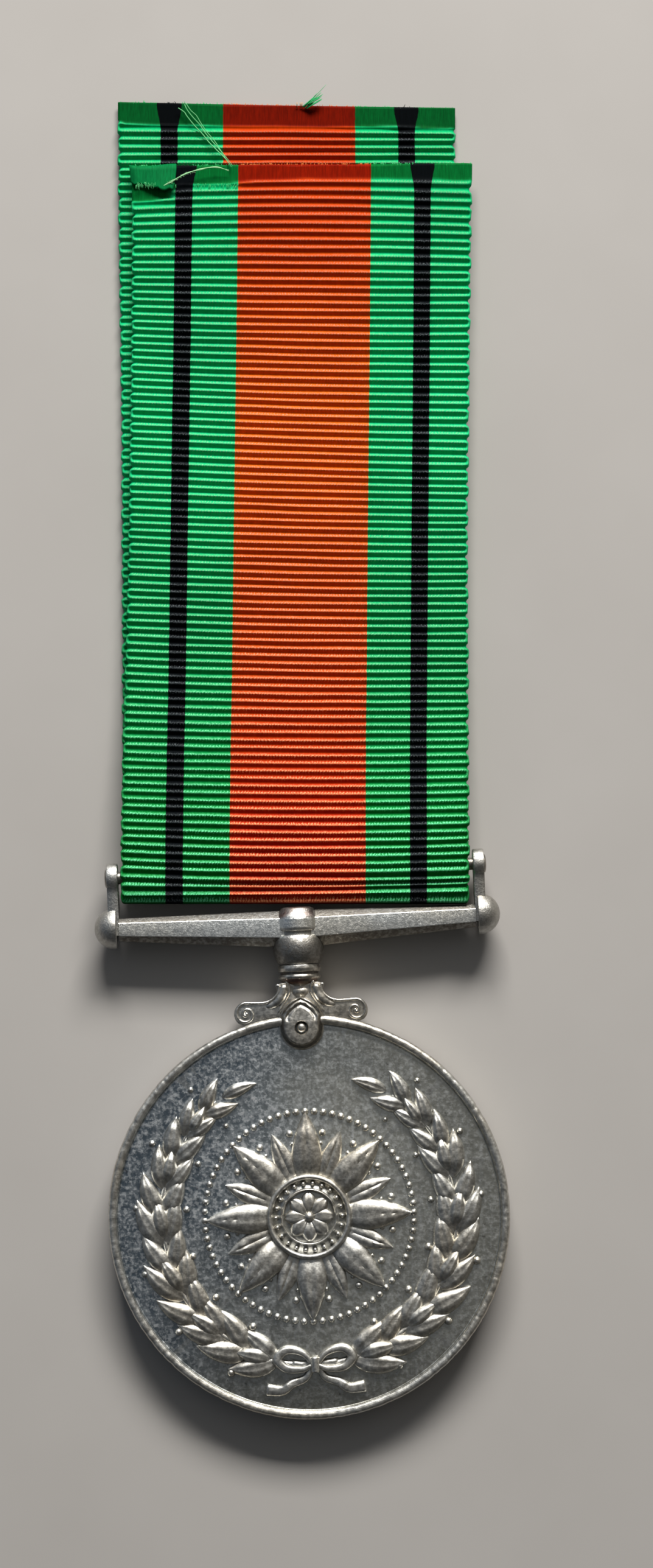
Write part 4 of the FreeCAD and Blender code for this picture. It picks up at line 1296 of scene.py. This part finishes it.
def strip_line():
    """the strip's middle line, by length from the upper cut end"""
    y, x, z, pitch, lean, wide = ROWS.T
    pitch = np.radians(pitch)
    chord = np.hypot(np.diff(y), np.diff(z))
    out = []
    for i, d in enumerate(chord):
        n = max(12, int(d / 0.04))
        t = np.linspace(0, 1, n, endpoint=False)
        h00, h10 = 2 * t ** 3 - 3 * t ** 2 + 1, t ** 3 - 2 * t ** 2 + t
        h01, h11 = -2 * t ** 3 + 3 * t ** 2, t ** 3 - t ** 2
        ty, tz = -np.cos(pitch), -np.sin(pitch)
        cy = h00 * y[i] + h10 * ty[i] * d + h01 * y[i + 1] + h11 * ty[i + 1] * d
        cz = h00 * z[i] + h10 * tz[i] * d + h01 * z[i + 1] + h11 * tz[i + 1] * d
        rest = [a[i] + (a[i + 1] - a[i]) * t for a in (x, lean, wide)]
        out.append(np.column_stack([cy, cz, *rest]))
    out.append([[y[-1], z[-1], x[-1], lean[-1], wide[-1]]])
    line = np.concatenate(out)
    s = np.concatenate([[0], np.cumsum(np.hypot(np.diff(line[:, 0]),
                                                np.diff(line[:, 1])))])
    return s, line


S, LINE = strip_line()
LENGTH = float(S[-1])
CREASE = float(np.interp(1, [0, 1], [0, S[np.argmin(LINE[:, 0])]]))


def strip_at(s):
    """middle, lean, width and outward direction at lengths s"""
    y, z, x, lean, wide = [np.interp(s, S, LINE[:, k]) for k in range(5)]
    e = 0.02
    dy = np.interp(s + e, S, LINE[:, 0]) - np.interp(s - e, S, LINE[:, 0])
    dz = np.interp(s + e, S, LINE[:, 1]) - np.interp(s - e, S, LINE[:, 1])
    n = np.hypot(dy, dz) + 1e-12
    return x, y, z, lean, wide, dz / n, -dy / n


# rib lines: spacing along the strip, and how the weft bows across it
PITCH_AT = [1.0, 3.0, 6.0, 9.0, 12.0, 15.0, 20.0, 28.0, 36.0, 44.0, 52.0,
            58.0, 62.0, 66.3, 66.7, 67.5, 67.8, 72.0, LENGTH - 14, LENGTH]
PITCH = [.790, .779, .775, .762, .720, .713, .695, .699, .686, .697, .720,
         .720, .705, .680, .500, .500, .620, .690, .690, .730]
BAND_FRONT, BAND_BACK = 1.38, 1.35
fine_s = np.arange(BAND_FRONT, LENGTH - BAND_BACK, 0.01)
ribs = np.concatenate([[0], np.cumsum(0.01 / np.interp(
    fine_s[:-1], PITCH_AT, PITCH))])
RIB_COUNT = int(ribs[-1])
rib_s = np.interp(np.arange(RIB_COUNT + 1), ribs, fine_s)
SLOPE_AT = [0, 2.8, 4.8, 12.4, 19.5, 26.5, 33.4, 40.3, 47.3, 54.4, 61.6,
            67.6, 80]
SLOPE = [.02, .05, .05, .18, .35, .52, .40, .31, .25, .13, .10, .00, .05]
BOW_AT = SLOPE_AT
BOW = [.05, .32, .29, -.10, -.21, -.13, -.15, -.23, -.23, -.18, -.25, -.34,
       -.27]

rows_s, rows_ph = [], []
for s in np.linspace(0, BAND_FRONT, 9)[:-1]:
    rows_s.append(s)
    rows_ph.append((s - BAND_FRONT) / 0.7)
for k in range(RIB_COUNT):
    a, b = rib_s[k], rib_s[k + 1]
    if a < CREASE + 0.5 or a > LENGTH - 9:
        part = (0.0, 0.14, 0.24, 0.33, 0.42, 0.51, 0.60, 0.70, 0.82)
    else:
        part = (0.0, 0.20, 0.36, 0.54, 0.76)
    for f in part:
        rows_s.append(a + (b - a) * f)
        rows_ph.append(k + f)
for s in np.linspace(rib_s[-1], LENGTH, 12):
    rows_s.append(s)
    rows_ph.append(RIB_COUNT + (s - rib_s[-1]) / 0.7)
rows_s, rows_ph = np.array(rows_s), np.array(rows_ph)
NR = len(rows_s)


def columns(inner):
    """positions across, -1 to 1, closer together at the selvedges"""
    lip = np.array([0.0, 0.03, 0.09, 0.18, 0.30, 0.46, 0.70])
    lip = lip / 15.7
    mid = np.linspace(-1 + lip[-1], 1 - lip[-1], inner + 2)[1:-1]
    return np.concatenate([-1 + lip, mid, 1 - lip[::-1]])


def bump_of(d):
    """narrow round rib; d is the distance from its crest in rib widths"""
    return np.cos(math.pi / 2 * np.clip(np.abs(d) / 0.40, 0, 1)) ** 1.6


def ragged(xn, seed):
    """uneven line across the strip, about 0 to 1"""
    r = np.random.default_rng(seed)
    coarse = np.interp(xn, np.linspace(-1, 1, 17), r.uniform(0, 1, 17))
    fine = np.interp(xn, np.linspace(-1, 1, 61), r.uniform(0, 1, 61))
    return 0.6 * coarse + 0.4 * fine


def cloth_points(xn, side, wander):
    """points of one face of the strip; side +1 is its outer face"""
    s0 = rows_s[:, None]
    ph = rows_ph[:, None]
    xn = xn[None, :]
    on = smooth(0.0, 2.0, s0) * (1 - smooth(66.6, 68.1, s0))
    _, _, _, lean0, wide0, _, _ = strip_at(rows_s)
    lean0, wide0 = lean0[:, None], wide0[:, None]
    x0 = xn * wide0 / 2
    shift = on * (np.interp(s0, SLOPE_AT, SLOPE) * xn
                  + np.interp(s0, BOW_AT, BOW) * xn ** 2
                  + lean0 * ROD_LEAN * x0)
    # the cut ends aren't quite straight
    ends = ((1 - smooth(0.0, 1.2, s0)) * 0.20 * ragged(xn, 31)
            - smooth(LENGTH - 1.5, LENGTH, s0) * 0.16 * ragged(xn, 32))
    s = np.clip(s0 + shift + ends + wander * smooth(0.3, 3, s0), 0, LENGTH)
    x, y, z, lean, wide, ny, nz = [a.reshape(s.shape)
                                   for a in strip_at(s.ravel())]
    f = ph - np.floor(ph)
    # the last weft lines have slipped out, furthest at the left corner
    lost = 1.9 * (1 - smooth(-0.86, -0.66, xn)) \
        + 0.5 * (1 - smooth(-0.40, -0.30, xn)) + 0.45 * ragged(xn, 33)
    kept = RIB_COUNT - 0.2 - 0.8 * ragged(xn, 34)
    woven = (smooth(lost - 0.30, lost + 0.15, ph)
             * (1 - smooth(kept - 0.2, kept + 0.3, ph)))
    pressed = smooth(67.98, 68.30, s0) * (1 - smooth(69.6, 70.4, s0))
    amp = woven * (1 - 0.80 * pressed)
    edge_mm = (1 - np.abs(xn)) * wide / 2
    turned = smooth(CREASE - 0.2, CREASE + 0.2, s0)

    def crest_gap(shift):
        """signed distance from the crest line, which turns back into the
        next rib at each selvedge: pairs start even on the left, odd right"""
        odd = (xn > 0).astype(float)
        q = ph - shift
        pair = np.floor((q - odd) / 2) * 2 + odd + 1.0
        dy = q - pair
        turn_r = 0.40 + 0.16 * np.sin(pair * 2.1 + odd * 1.3)
        u = edge_mm / 0.70
        dist = np.where(u > turn_r, np.abs(dy), np.hypot(
            (u - turn_r) * 0.5 / (turn_r - 0.10), dy))
        return np.where(odd > 0, -(0.5 - dist), 0.5 - dist), dy

    gap, dy = crest_gap(0.0)
    hump = bump_of(gap)
    # where the painted highlight lies: the light falls from the cut ends' side on
    # both layers
    glint, _ = crest_gap(np.where(turned > 0.5, 0.10, -0.10))
    tall = 0.275 - 0.02 * smooth(14.0, 2.0, s0)
    tau = 0.20 + tall * hump * amp + 0.45 * smooth(66.95, 67.85, s0) \
        * (1 - smooth(69.6, 70.4, s0))
    bare = 1 - woven
    tau = tau * (1 - 0.25 * bare)
    roll = np.sqrt(np.clip(1 - (1 - np.clip(edge_mm / 0.26, 0, 1)) ** 2,
                           0, 1))
    tau = tau * (0.04 + 0.96 * roll)
    notch = (smooth(0.52, 0.94, np.abs(dy)) * 0.20 + 0.05
             * np.sin(ph * 1.7)) * woven * (1 - 0.6 * pressed)
    half = wide / 2 + 0.03 - notch * smooth(0.90, 1.0, np.abs(xn)) ** 2
    px = x + xn * half
    py = y + lean * ROD_LEAN * xn * half + ny * tau * side
    pz = z + nz * tau * side
    # both cut ends slant a little
    py = py - 0.28 * xn * smooth(LENGTH - 5, LENGTH, s0) \
        + 0.12 * xn * (1 - smooth(0.0, 4.0, s0))
    full = s.shape
    # the attributes below place the painted highlight and set its strength, and
    # paint shade on the pressed fold and on the lower layer's cut end
    return {"p": np.stack([px, py, pz], -1).reshape(-1, 3),
            "xs": np.broadcast_to(xn * wide / 2, full).ravel(),
            "ph": np.broadcast_to(ph, full).ravel(),
            "sd": np.broadcast_to(glint, full).ravel(),
            "am": np.broadcast_to(woven * (1 - 0.84 * pressed)
                                  * (0.30 + 0.70 * smooth(
                                      0.16, 0.62, edge_mm)), full).ravel(),
            "dk": np.broadcast_to(1.0 - 0.33 * turned, full).ravel(),
            "sh": np.broadcast_to(1 - 0.45 * pressed, full).ravel(),
            "sp": np.broadcast_to(
                1 - smooth(0.2, 2.6, s0 + 0.3 * ragged(xn, 41))
                + smooth(LENGTH - 2.6, LENGTH - 0.2, s0), full).ravel(),
            "wv": np.broadcast_to(woven, full).ravel()}


def weft_wander(xn, seed):
    """each rib's own slight unevenness along its length"""
    r = np.random.default_rng(seed)
    k = np.floor(rows_ph).astype(int)
    table = r.normal(0, 1, (k.max() - k.min() + 3, 9))
    a = table[k - k.min()]
    b = table[k - k.min() + 1]
    f = (rows_ph - k)[:, None]
    knots = a * (1 - f) + b * f
    where = np.linspace(-1, 1, 9)
    return np.array([np.interp(xn, where, row) for row in knots]) * 0.022


top_x, low_x = columns(24), columns(12)
upper = cloth_points(top_x, 1, weft_wander(top_x, 21))
lower = cloth_points(low_x, -1, weft_wander(low_x, 21))
nt, nl = len(top_x), len(low_x)
verts = np.concatenate([upper["p"], lower["p"]])
faces = grid(NR, nt).tolist()
off = NR * nt
faces += (grid(NR, nl)[:, ::-1] + off).tolist()
for i in range(NR - 1):
    a, b = i * nt, (i + 1) * nt
    c, d = off + i * nl, off + (i + 1) * nl
    faces.append([a, b, d, c])
    faces.append([b + nt - 1, a + nt - 1, c + nl - 1, d + nl - 1])
for i in (0, NR - 1):
    a, c = i * nt, off + i * nl
    faces.append([a + j for j in range(nt)] + [c + j for j in range(nl)][::-1])
cloth = Shape()
cloth.add(verts, faces, **{k: np.concatenate([upper[k], lower[k]])
                           for k in ("xs", "ph", "sd", "am", "dk", "sh", "sp",
                                     "wv")})
ribbon = cloth.build("ribbon_strip", SILK, "ribbon_cloth", medal=False)
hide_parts("ribbon")
print("ribbon length", round(LENGTH, 2), "crease", round(CREASE, 2),
      "ribs", RIB_COUNT, "rows", NR)

# --------------------------------------------------------------------------
# cut ends: short fibres, a torn corner and loose threads
# --------------------------------------------------------------------------


def fibre(shape, path, radius, xs, sides=5, pale=0.0):
    path = np.asarray(path, float)
    n = len(path)
    radii = radius * np.interp(np.linspace(0, 1, n), [0, 0.8, 1],
                               [1.0, 0.9, 0.35])
    sweep(shape, path, radii, sides=sides, up=(0.03, 0.02, 1),
          xs=np.repeat(np.broadcast_to(xs, (n,)), sides),
          ph=np.repeat(np.linspace(0, 3, n), sides), pl=pale)


fringe = Shape()
r = np.random.default_rng(8)
for end_s, sign, mid_z, count in ((0.0, 1, 1.56, 330), (LENGTH, 1, 0.5, 330)):
    x, y, z, _, wide, _, _ = strip_at(np.array([end_s]))
    for k in range(count):
        xn = r.uniform(-0.995, 0.995)
        px = float(x[0]) + xn * float(wide[0]) / 2
        length = r.uniform(0.02, 0.16) * (2.4 if r.random() < 0.05 else 1.0)
        a = r.normal(0, 0.45)
        rise = r.normal(0.0, 0.25)
        slant = 0.12 * xn if end_s < 1 else -0.28 * xn
        base = np.array([px, float(y[0]) - 0.30 + slant,
                         mid_z + r.uniform(-0.1, 0.1)])
        tip = base + np.array([math.sin(a) * length,
                               0.25 + math.cos(a) * length, rise * length])
        tip[2] = min(max(tip[2], 0.12), 2.2)
        mid = (base + tip) / 2 + r.normal(0, 0.03, 3)
        mid[2] = max(mid[2], 0.12)
        fibre(fringe, spline([base, mid, tip], 3), r.uniform(0.022, 0.05),
              xn * 15.7)
fringe_obj = fringe.build("cut_end_fibres", THREAD, "ribbon_cloth",
                          medal=False)


def px(u, v, z):
    """row-frame point at height z that the camera sees at frame pixel u, v"""
    c = np.array([2.26, -29.25, 298.86])
    a = math.radians(5.0)
    d = (np.array([0, math.sin(a), -math.cos(a)])
         + np.array([1.0, 0, 0]) * (u - 536.5) / 5390.0
         + np.array([0, math.cos(a), math.sin(a)]) * (1288.0 - v) / 5390.0)
    return c + d * ((z - c[2]) / d[2])


loose = Shape()
# fine twisted strands lying slantwise over the lower layer's end
for shift, r0, wave_at in ((0.0, 0.045, 0.0), (0.62, 0.040, 2.1),
                           (1.0, 0.034, 4.0)):
    t = np.linspace(0, 1, 9)
    u = np.interp(t, [0, 0.25, 0.55, 0.85, 1], [293, 309, 336, 368, 381])
    v = np.interp(t, [0, 0.25, 0.55, 0.85, 1], [176, 193, 225, 260, 273])
    u = u + shift * 14 * (1 - t) ** 0.6 + 2.0 * np.sin(t * 16 + wave_at)
    v = v - shift * 5 * (1 - t) + 1.6 * np.cos(t * 13 + wave_at)
    zz = np.interp(t, [0, 0.6, 0.8, 1], [1.05, 1.15, 1.7, 2.12])
    path = [px(a, b, c) for a, b, c in zip(u, v, zz)]
    fibre(loose, spline(path, 8), r0 * 1.15, -9.0, sides=6, pale=0.25)
for shift, r0 in ((0.0, 0.055), (1.0, 0.045), (-0.8, 0.035)):
    path = [px(262, 309, 2.20), px(284, 297 + shift, 2.32),
            px(305, 286 - shift, 2.36), px(330, 278 + shift, 2.36),
            px(355, 275 - shift, 2.32), px(376, 280 + shift, 2.14)]
    fibre(loose, spline(path, 8), r0, -9.0, sides=6, pale=0.62)
for k in range(30):
    t = r.uniform(0.1, 0.75)
    u = np.interp(t, [0, 0.4, 0.75, 1], [268, 305, 345, 376])
    v = np.interp(t, [0, 0.4, 0.75, 1], [306, 286, 276, 280])
    a = r.uniform(0, 2 * math.pi)
    n = r.uniform(3, 6)
    p0 = px(u, v, 2.33)
    p1 = px(u + n * math.cos(a), v + n * 0.6 * math.sin(a), 2.36)
    fibre(loose, [p0, (p0 + p1) / 2, p1], 0.022, -9.0, sides=4, pale=0.6)
# frayed lower edge of the turned-over corner, and of the first rib
for k in range(90):
    u = r.uniform(222, 290)
    v = 303 + r.uniform(-4, 2)
    n = r.uniform(3, 8)
    p0 = px(u, v, 2.16)
    p1 = px(u + r.uniform(-0.7, 0.7), v + n * 0.6, 2.20)
    p2 = px(u + r.uniform(-1.6, 1.6), v + n, 2.13)
    fibre(loose, spline([p0, p1, p2], 3), r.uniform(0.012, 0.022), -9.0,
          sides=4, pale=0.10)
for k in range(46):
    u = r.uniform(318, 392)
    v = 303 + r.uniform(-2, 3)
    n = r.uniform(3, 7)
    p0 = px(u, v, 1.92)
    p2 = px(u + r.uniform(-1, 1), v + n, 2.03)
    fibre(loose, [p0, (p0 + p2) / 2 + [0, 0, 0.05], p2],
          r.uniform(0.014, 0.026), -9.0, sides=4)
# tuft at the lower layer's end
for k in range(20):
    a = r.normal(0.62, 0.12)
    n = r.uniform(14, 34)
    u, v = 500 + r.uniform(-3, 6), 175 + r.uniform(-3, 4)
    p0 = px(u, v, 0.85)
    p1 = px(u + n * 0.5 * math.cos(a), v - n * 0.5 * math.sin(a), 1.20)
    p2 = px(u + n * math.cos(a), v - n * math.sin(a), 1.25)
    fibre(loose, spline([p0, p1, p2], 4), r.uniform(0.03, 0.05), -9.0)
for k in range(8):
    u = 492 + r.uniform(-6, 6)
    p0, p2 = px(u, 178, 0.7), px(u + r.uniform(-4, 4), 168, 1.0)
    fibre(loose, [p0, (p0 + p2) / 2 + [0, 0, 0.1], p2], 0.025, 0.0, sides=4,
          pale=0.3)
fibre(loose, spline([px(505, 172, 0.9), px(520, 156, 1.2),
                     px(536, 139, 1.1)], 8), 0.025, -9.0)
loose_obj = loose.build("loose_threads", THREAD, "ribbon_cloth", medal=False)

# turned-over corner of unwoven silk, thin, lifted at its lower edge
flap = Shape()
rows, cols = 14, 26
top_pts, low_pts = [], []
rr = np.random.default_rng(12)
hem = np.interp(np.linspace(0, 1, cols), np.linspace(0, 1, 12),
                rr.uniform(-2.5, 3.0, 12))
for i in range(rows):
    t = i / (rows - 1)
    for j in range(cols):
        q = j / (cols - 1)
        u = 212 + 3 * t + (290 - 212 - 3 * t - 6 * t ** 2) * q
        v = 271 + 2 * math.sin(q * 5) * (1 - t) \
            + (34 + hem[j] + 7 * q - 5 * (1 - q) ** 2) * t
        zc = 2.05 + 0.02 * math.sin(q * 6.5 + t * 3) + 0.22 * t * smooth(
            0.35, 0.75, q) + 0.05 * t
        zc -= 0.26 * (1 - smooth(0.0, 0.10, q)) + 0.22 * (1 - smooth(
            0.0, 0.14, t))
        top_pts.append(px(u, v, float(zc)))
        low_pts.append(px(u, v, float(zc)) - [0, 0, 0.09])
idx = np.arange(rows * cols).reshape(rows, cols)
rim = np.concatenate([idx[0, :], idx[1:, -1], idx[-1, -2::-1],
                      idx[-2:0:-1, 0]])
n = rows * cols
faces = grid(rows, cols).tolist()
faces += [[f[3] + n, f[2] + n, f[1] + n, f[0] + n] for f in
          grid(rows, cols).tolist()]
faces += [[rim[k], rim[(k + 1) % len(rim)], rim[(k + 1) % len(rim)] + n,
           rim[k] + n] for k in range(len(rim))]
both = np.array(top_pts + low_pts)
flap.add(both, faces, xs=both[:, 0], ph=both[:, 1])
flap_obj = flap.build("turned_corner", BARE, "ribbon_cloth", medal=False)

# --------------------------------------------------------------------------
# floor, light
# --------------------------------------------------------------------------
floor_mesh = bpy.data.meshes.new("floor")
g = 2.0
floor_mesh.from_pydata([(-g, -g, 0), (g, -g, 0), (g, g, 0), (-g, g, 0)], [],
                       [(0, 1, 2, 3)])
floor = bpy.data.objects.new("floor", floor_mesh)
scene.collection.objects.link(floor)
fm = Nodes("floor_matte")
grain = fm.noise(fm.obj(), 60.0, 3.0)
fm.set(Base_Color=fm.mix(grain, (0.345, 0.325, 0.305), (0.385, 0.365, 0.345)),
       Roughness=0.9)
floor_mesh.materials.append(fm.material)


def lamp(name, place, target, size, power, colour=(1, 1, 1)):
    data = bpy.data.lights.new(name, "AREA")
    data.shape = "RECTANGLE"
    data.size, data.size_y = size
    data.energy = power
    data.color = colour
    obj = bpy.data.objects.new(name, data)
    scene.collection.objects.link(obj)
    obj.location = place
    obj.rotation_euler = (Vector(target) - Vector(place)).to_track_quat(
        "-Z", "Y").to_euler()
    return obj


lamp("key", (0.07, 0.60, 0.36), (0, 0, 0), (0.46, 0.18), 11.0,
     (1.0, 0.985, 0.955))
world = bpy.data.worlds.new("studio")
scene.world = world
world.use_nodes = True
wt = world.node_tree
back = wt.nodes["Background"]
way = wt.nodes.new("ShaderNodeTexCoord")
split = wt.nodes.new("ShaderNodeSeparateXYZ")
wt.links.new(way.outputs["Generated"], split.inputs[0])
# soft room light: brighter towards the window side, cool on the left
lean = wt.nodes.new("ShaderNodeMapRange")
lean.interpolation_type = "SMOOTHSTEP"
for key, value in (("From Min", -0.75), ("From Max", 0.9),
                   ("To Min", 0.05), ("To Max", 0.30)):
    lean.inputs[key].default_value = value
wt.links.new(split.outputs["Y"], lean.inputs["Value"])
wt.links.new(lean.outputs[0], back.inputs[1])
hue = wt.nodes.new("ShaderNodeMix")
hue.data_type = "RGBA"
side_of = wt.nodes.new("ShaderNodeMapRange")
side_of.inputs["From Min"].default_value = -0.8
side_of.inputs["From Max"].default_value = 0.5
wt.links.new(split.outputs["X"], side_of.inputs["Value"])
wt.links.new(side_of.outputs[0], hue.inputs[0])
hue.inputs[6].default_value = (0.66, 0.80, 1.0, 1.0)
hue.inputs[7].default_value = (1.0, 0.97, 0.90, 1.0)
wt.links.new(hue.outputs[2], back.inputs[0])
scene.view_settings.view_transform = "Standard"
